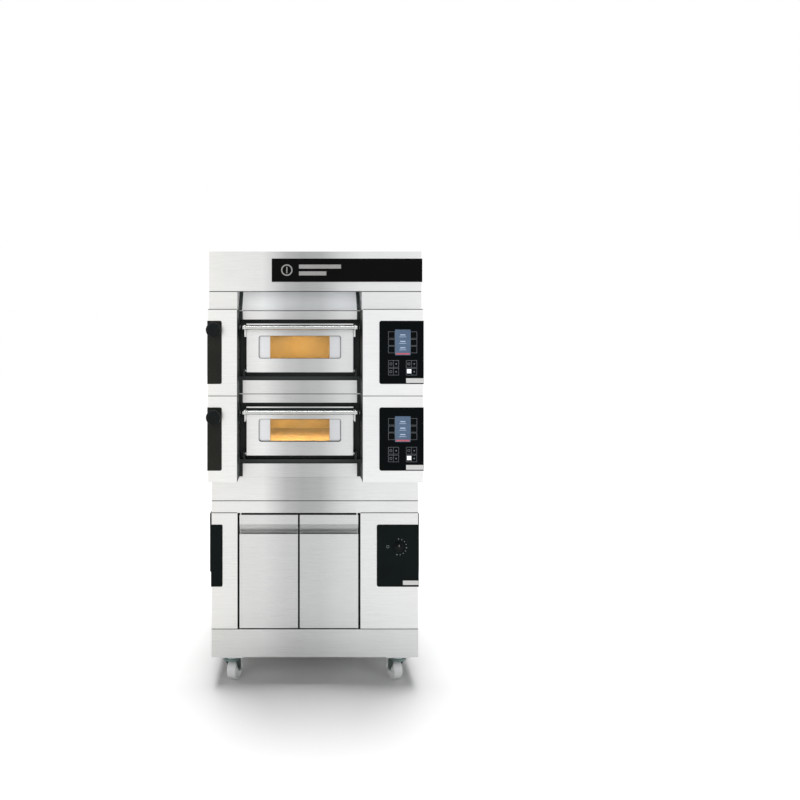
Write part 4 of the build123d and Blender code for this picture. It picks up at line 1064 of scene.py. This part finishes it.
def makeFloor():
    deselectAll()
    bpy.ops.mesh.primitive_plane_add(size=studio["floorSize"], location=(0, 0, 0))
    floor = bpy.context.object
    floor.name = "floor"
    material, tree, shader = startMaterial("paleFloor", Roughness=1.0, Specular_IOR_Level=0.0)
    cloud = useGroup(tree, "smudge", Scale=0.8).outputs["Cloud"]
    pale = rampOf(tree, cloud, [(0.3, (0.93, 0.93, 0.93)), (0.7, (0.95, 0.95, 0.95))])
    seen = addNode(tree, "ShaderNodeLightPath").outputs["Is Camera Ray"]
    dimmed = addNode(tree, "ShaderNodeVectorMath", operation="SCALE")
    tree.links.new(pale, dimmed.inputs[0])
    tree.links.new(remap(tree, seen, 0.0, 1.0, light["bounce"], 1.0), dimmed.inputs["Scale"])
    tree.links.new(dimmed.outputs[0], shader.inputs["Base Color"])
    floor.data.materials.append(material)


def makeAreaLight(name, place, target, size, energy, colour):
    data = bpy.data.lights.new(name, "AREA")
    data.shape = "RECTANGLE"
    data.size, data.size_y = size
    data.energy = energy
    data.color = colour
    lamp = bpy.data.objects.new(name, data)
    bpy.context.scene.collection.objects.link(lamp)
    lamp.location = place
    lamp.rotation_euler = (Vector(target) - Vector(place)).to_track_quat("-Z", "Y").to_euler()


def makeWorld():
    world = bpy.data.worlds.new("paleStudio")
    bpy.context.scene.world = world
    world.use_nodes = True
    tree = world.node_tree
    background = tree.nodes["Background"]
    background.inputs["Color"].default_value = (1.0, 1.0, 1.0, 1.0)
    path = addNode(tree, "ShaderNodeLightPath")
    mirrored = remap(tree, path.outputs["Is Glossy Ray"], 0.0, 1.0, light["fill"], light["mirrored"])
    seen = addNode(tree, "ShaderNodeMix", data_type="FLOAT")
    tree.links.new(path.outputs["Is Camera Ray"], seen.inputs["Factor"])
    tree.links.new(mirrored, seen.inputs["A"])
    seen.inputs["B"].default_value = light["backdrop"]
    tree.links.new(seen.outputs["Result"], background.inputs["Strength"])


def makeSun():
    data = bpy.data.lights.new("overheadSun", "SUN")
    data.energy = light["sun"]
    data.angle = math.radians(light["sunAngle"])
    lamp = bpy.data.objects.new("overheadSun", data)
    bpy.context.scene.collection.objects.link(lamp)
    lamp.rotation_euler = (math.radians(light["sunTilt"]), 0, 0)


def makeStudio():
    makeWorld()
    aim = studio["aim"]
    makeAreaLight("leftSoftbox", studio["leftBox"], aim, studio["leftSize"], light["left"], tints["warm"])
    makeAreaLight("rightSoftbox", studio["rightBox"], aim, studio["rightSize"], light["right"], tints["cool"])
    makeSun()
    low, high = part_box("hood_deflector")
    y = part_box("hood_shell")[0].y + studio["mouthSetback"]
    place = ((low.x + high.x) / 2, y, high.z - studio["mouthDrop"])
    size = studio["mouthSize"]
    makeAreaLight("hoodMouthLight", place, (low + high) / 2, size, light["hood"], tints["white"])
    for deck in decks:
        low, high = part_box(f"{deck}_hearth_stone")
        middle = (low + high) / 2
        place = (middle.x, middle.y - studio["chamberForward"], high.z + studio["chamberHeight"])
        size = studio["chamberSize"]
        makeAreaLight(f"{deck}ChamberLight", place, middle, size, light["chamber"], tints["amber"])


def makeCamera():
    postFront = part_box("upper_right_post")[0].y
    data = bpy.data.cameras.new("frontCamera")
    data.lens = studio["lens"]
    data.shift_x, data.shift_y = studio["shiftX"], studio["shiftY"]
    camera = bpy.data.objects.new("frontCamera", data)
    bpy.context.scene.collection.objects.link(camera)
    camera.location = (studio["cameraX"], postFront - studio["cameraBack"], studio["cameraZ"])
    camera.rotation_euler = (math.pi / 2, 0, 0)
    bpy.context.scene.camera = camera


makeFloor()
makeStudio()
makeCamera()
bpy.context.scene.view_settings.view_transform = "Standard"
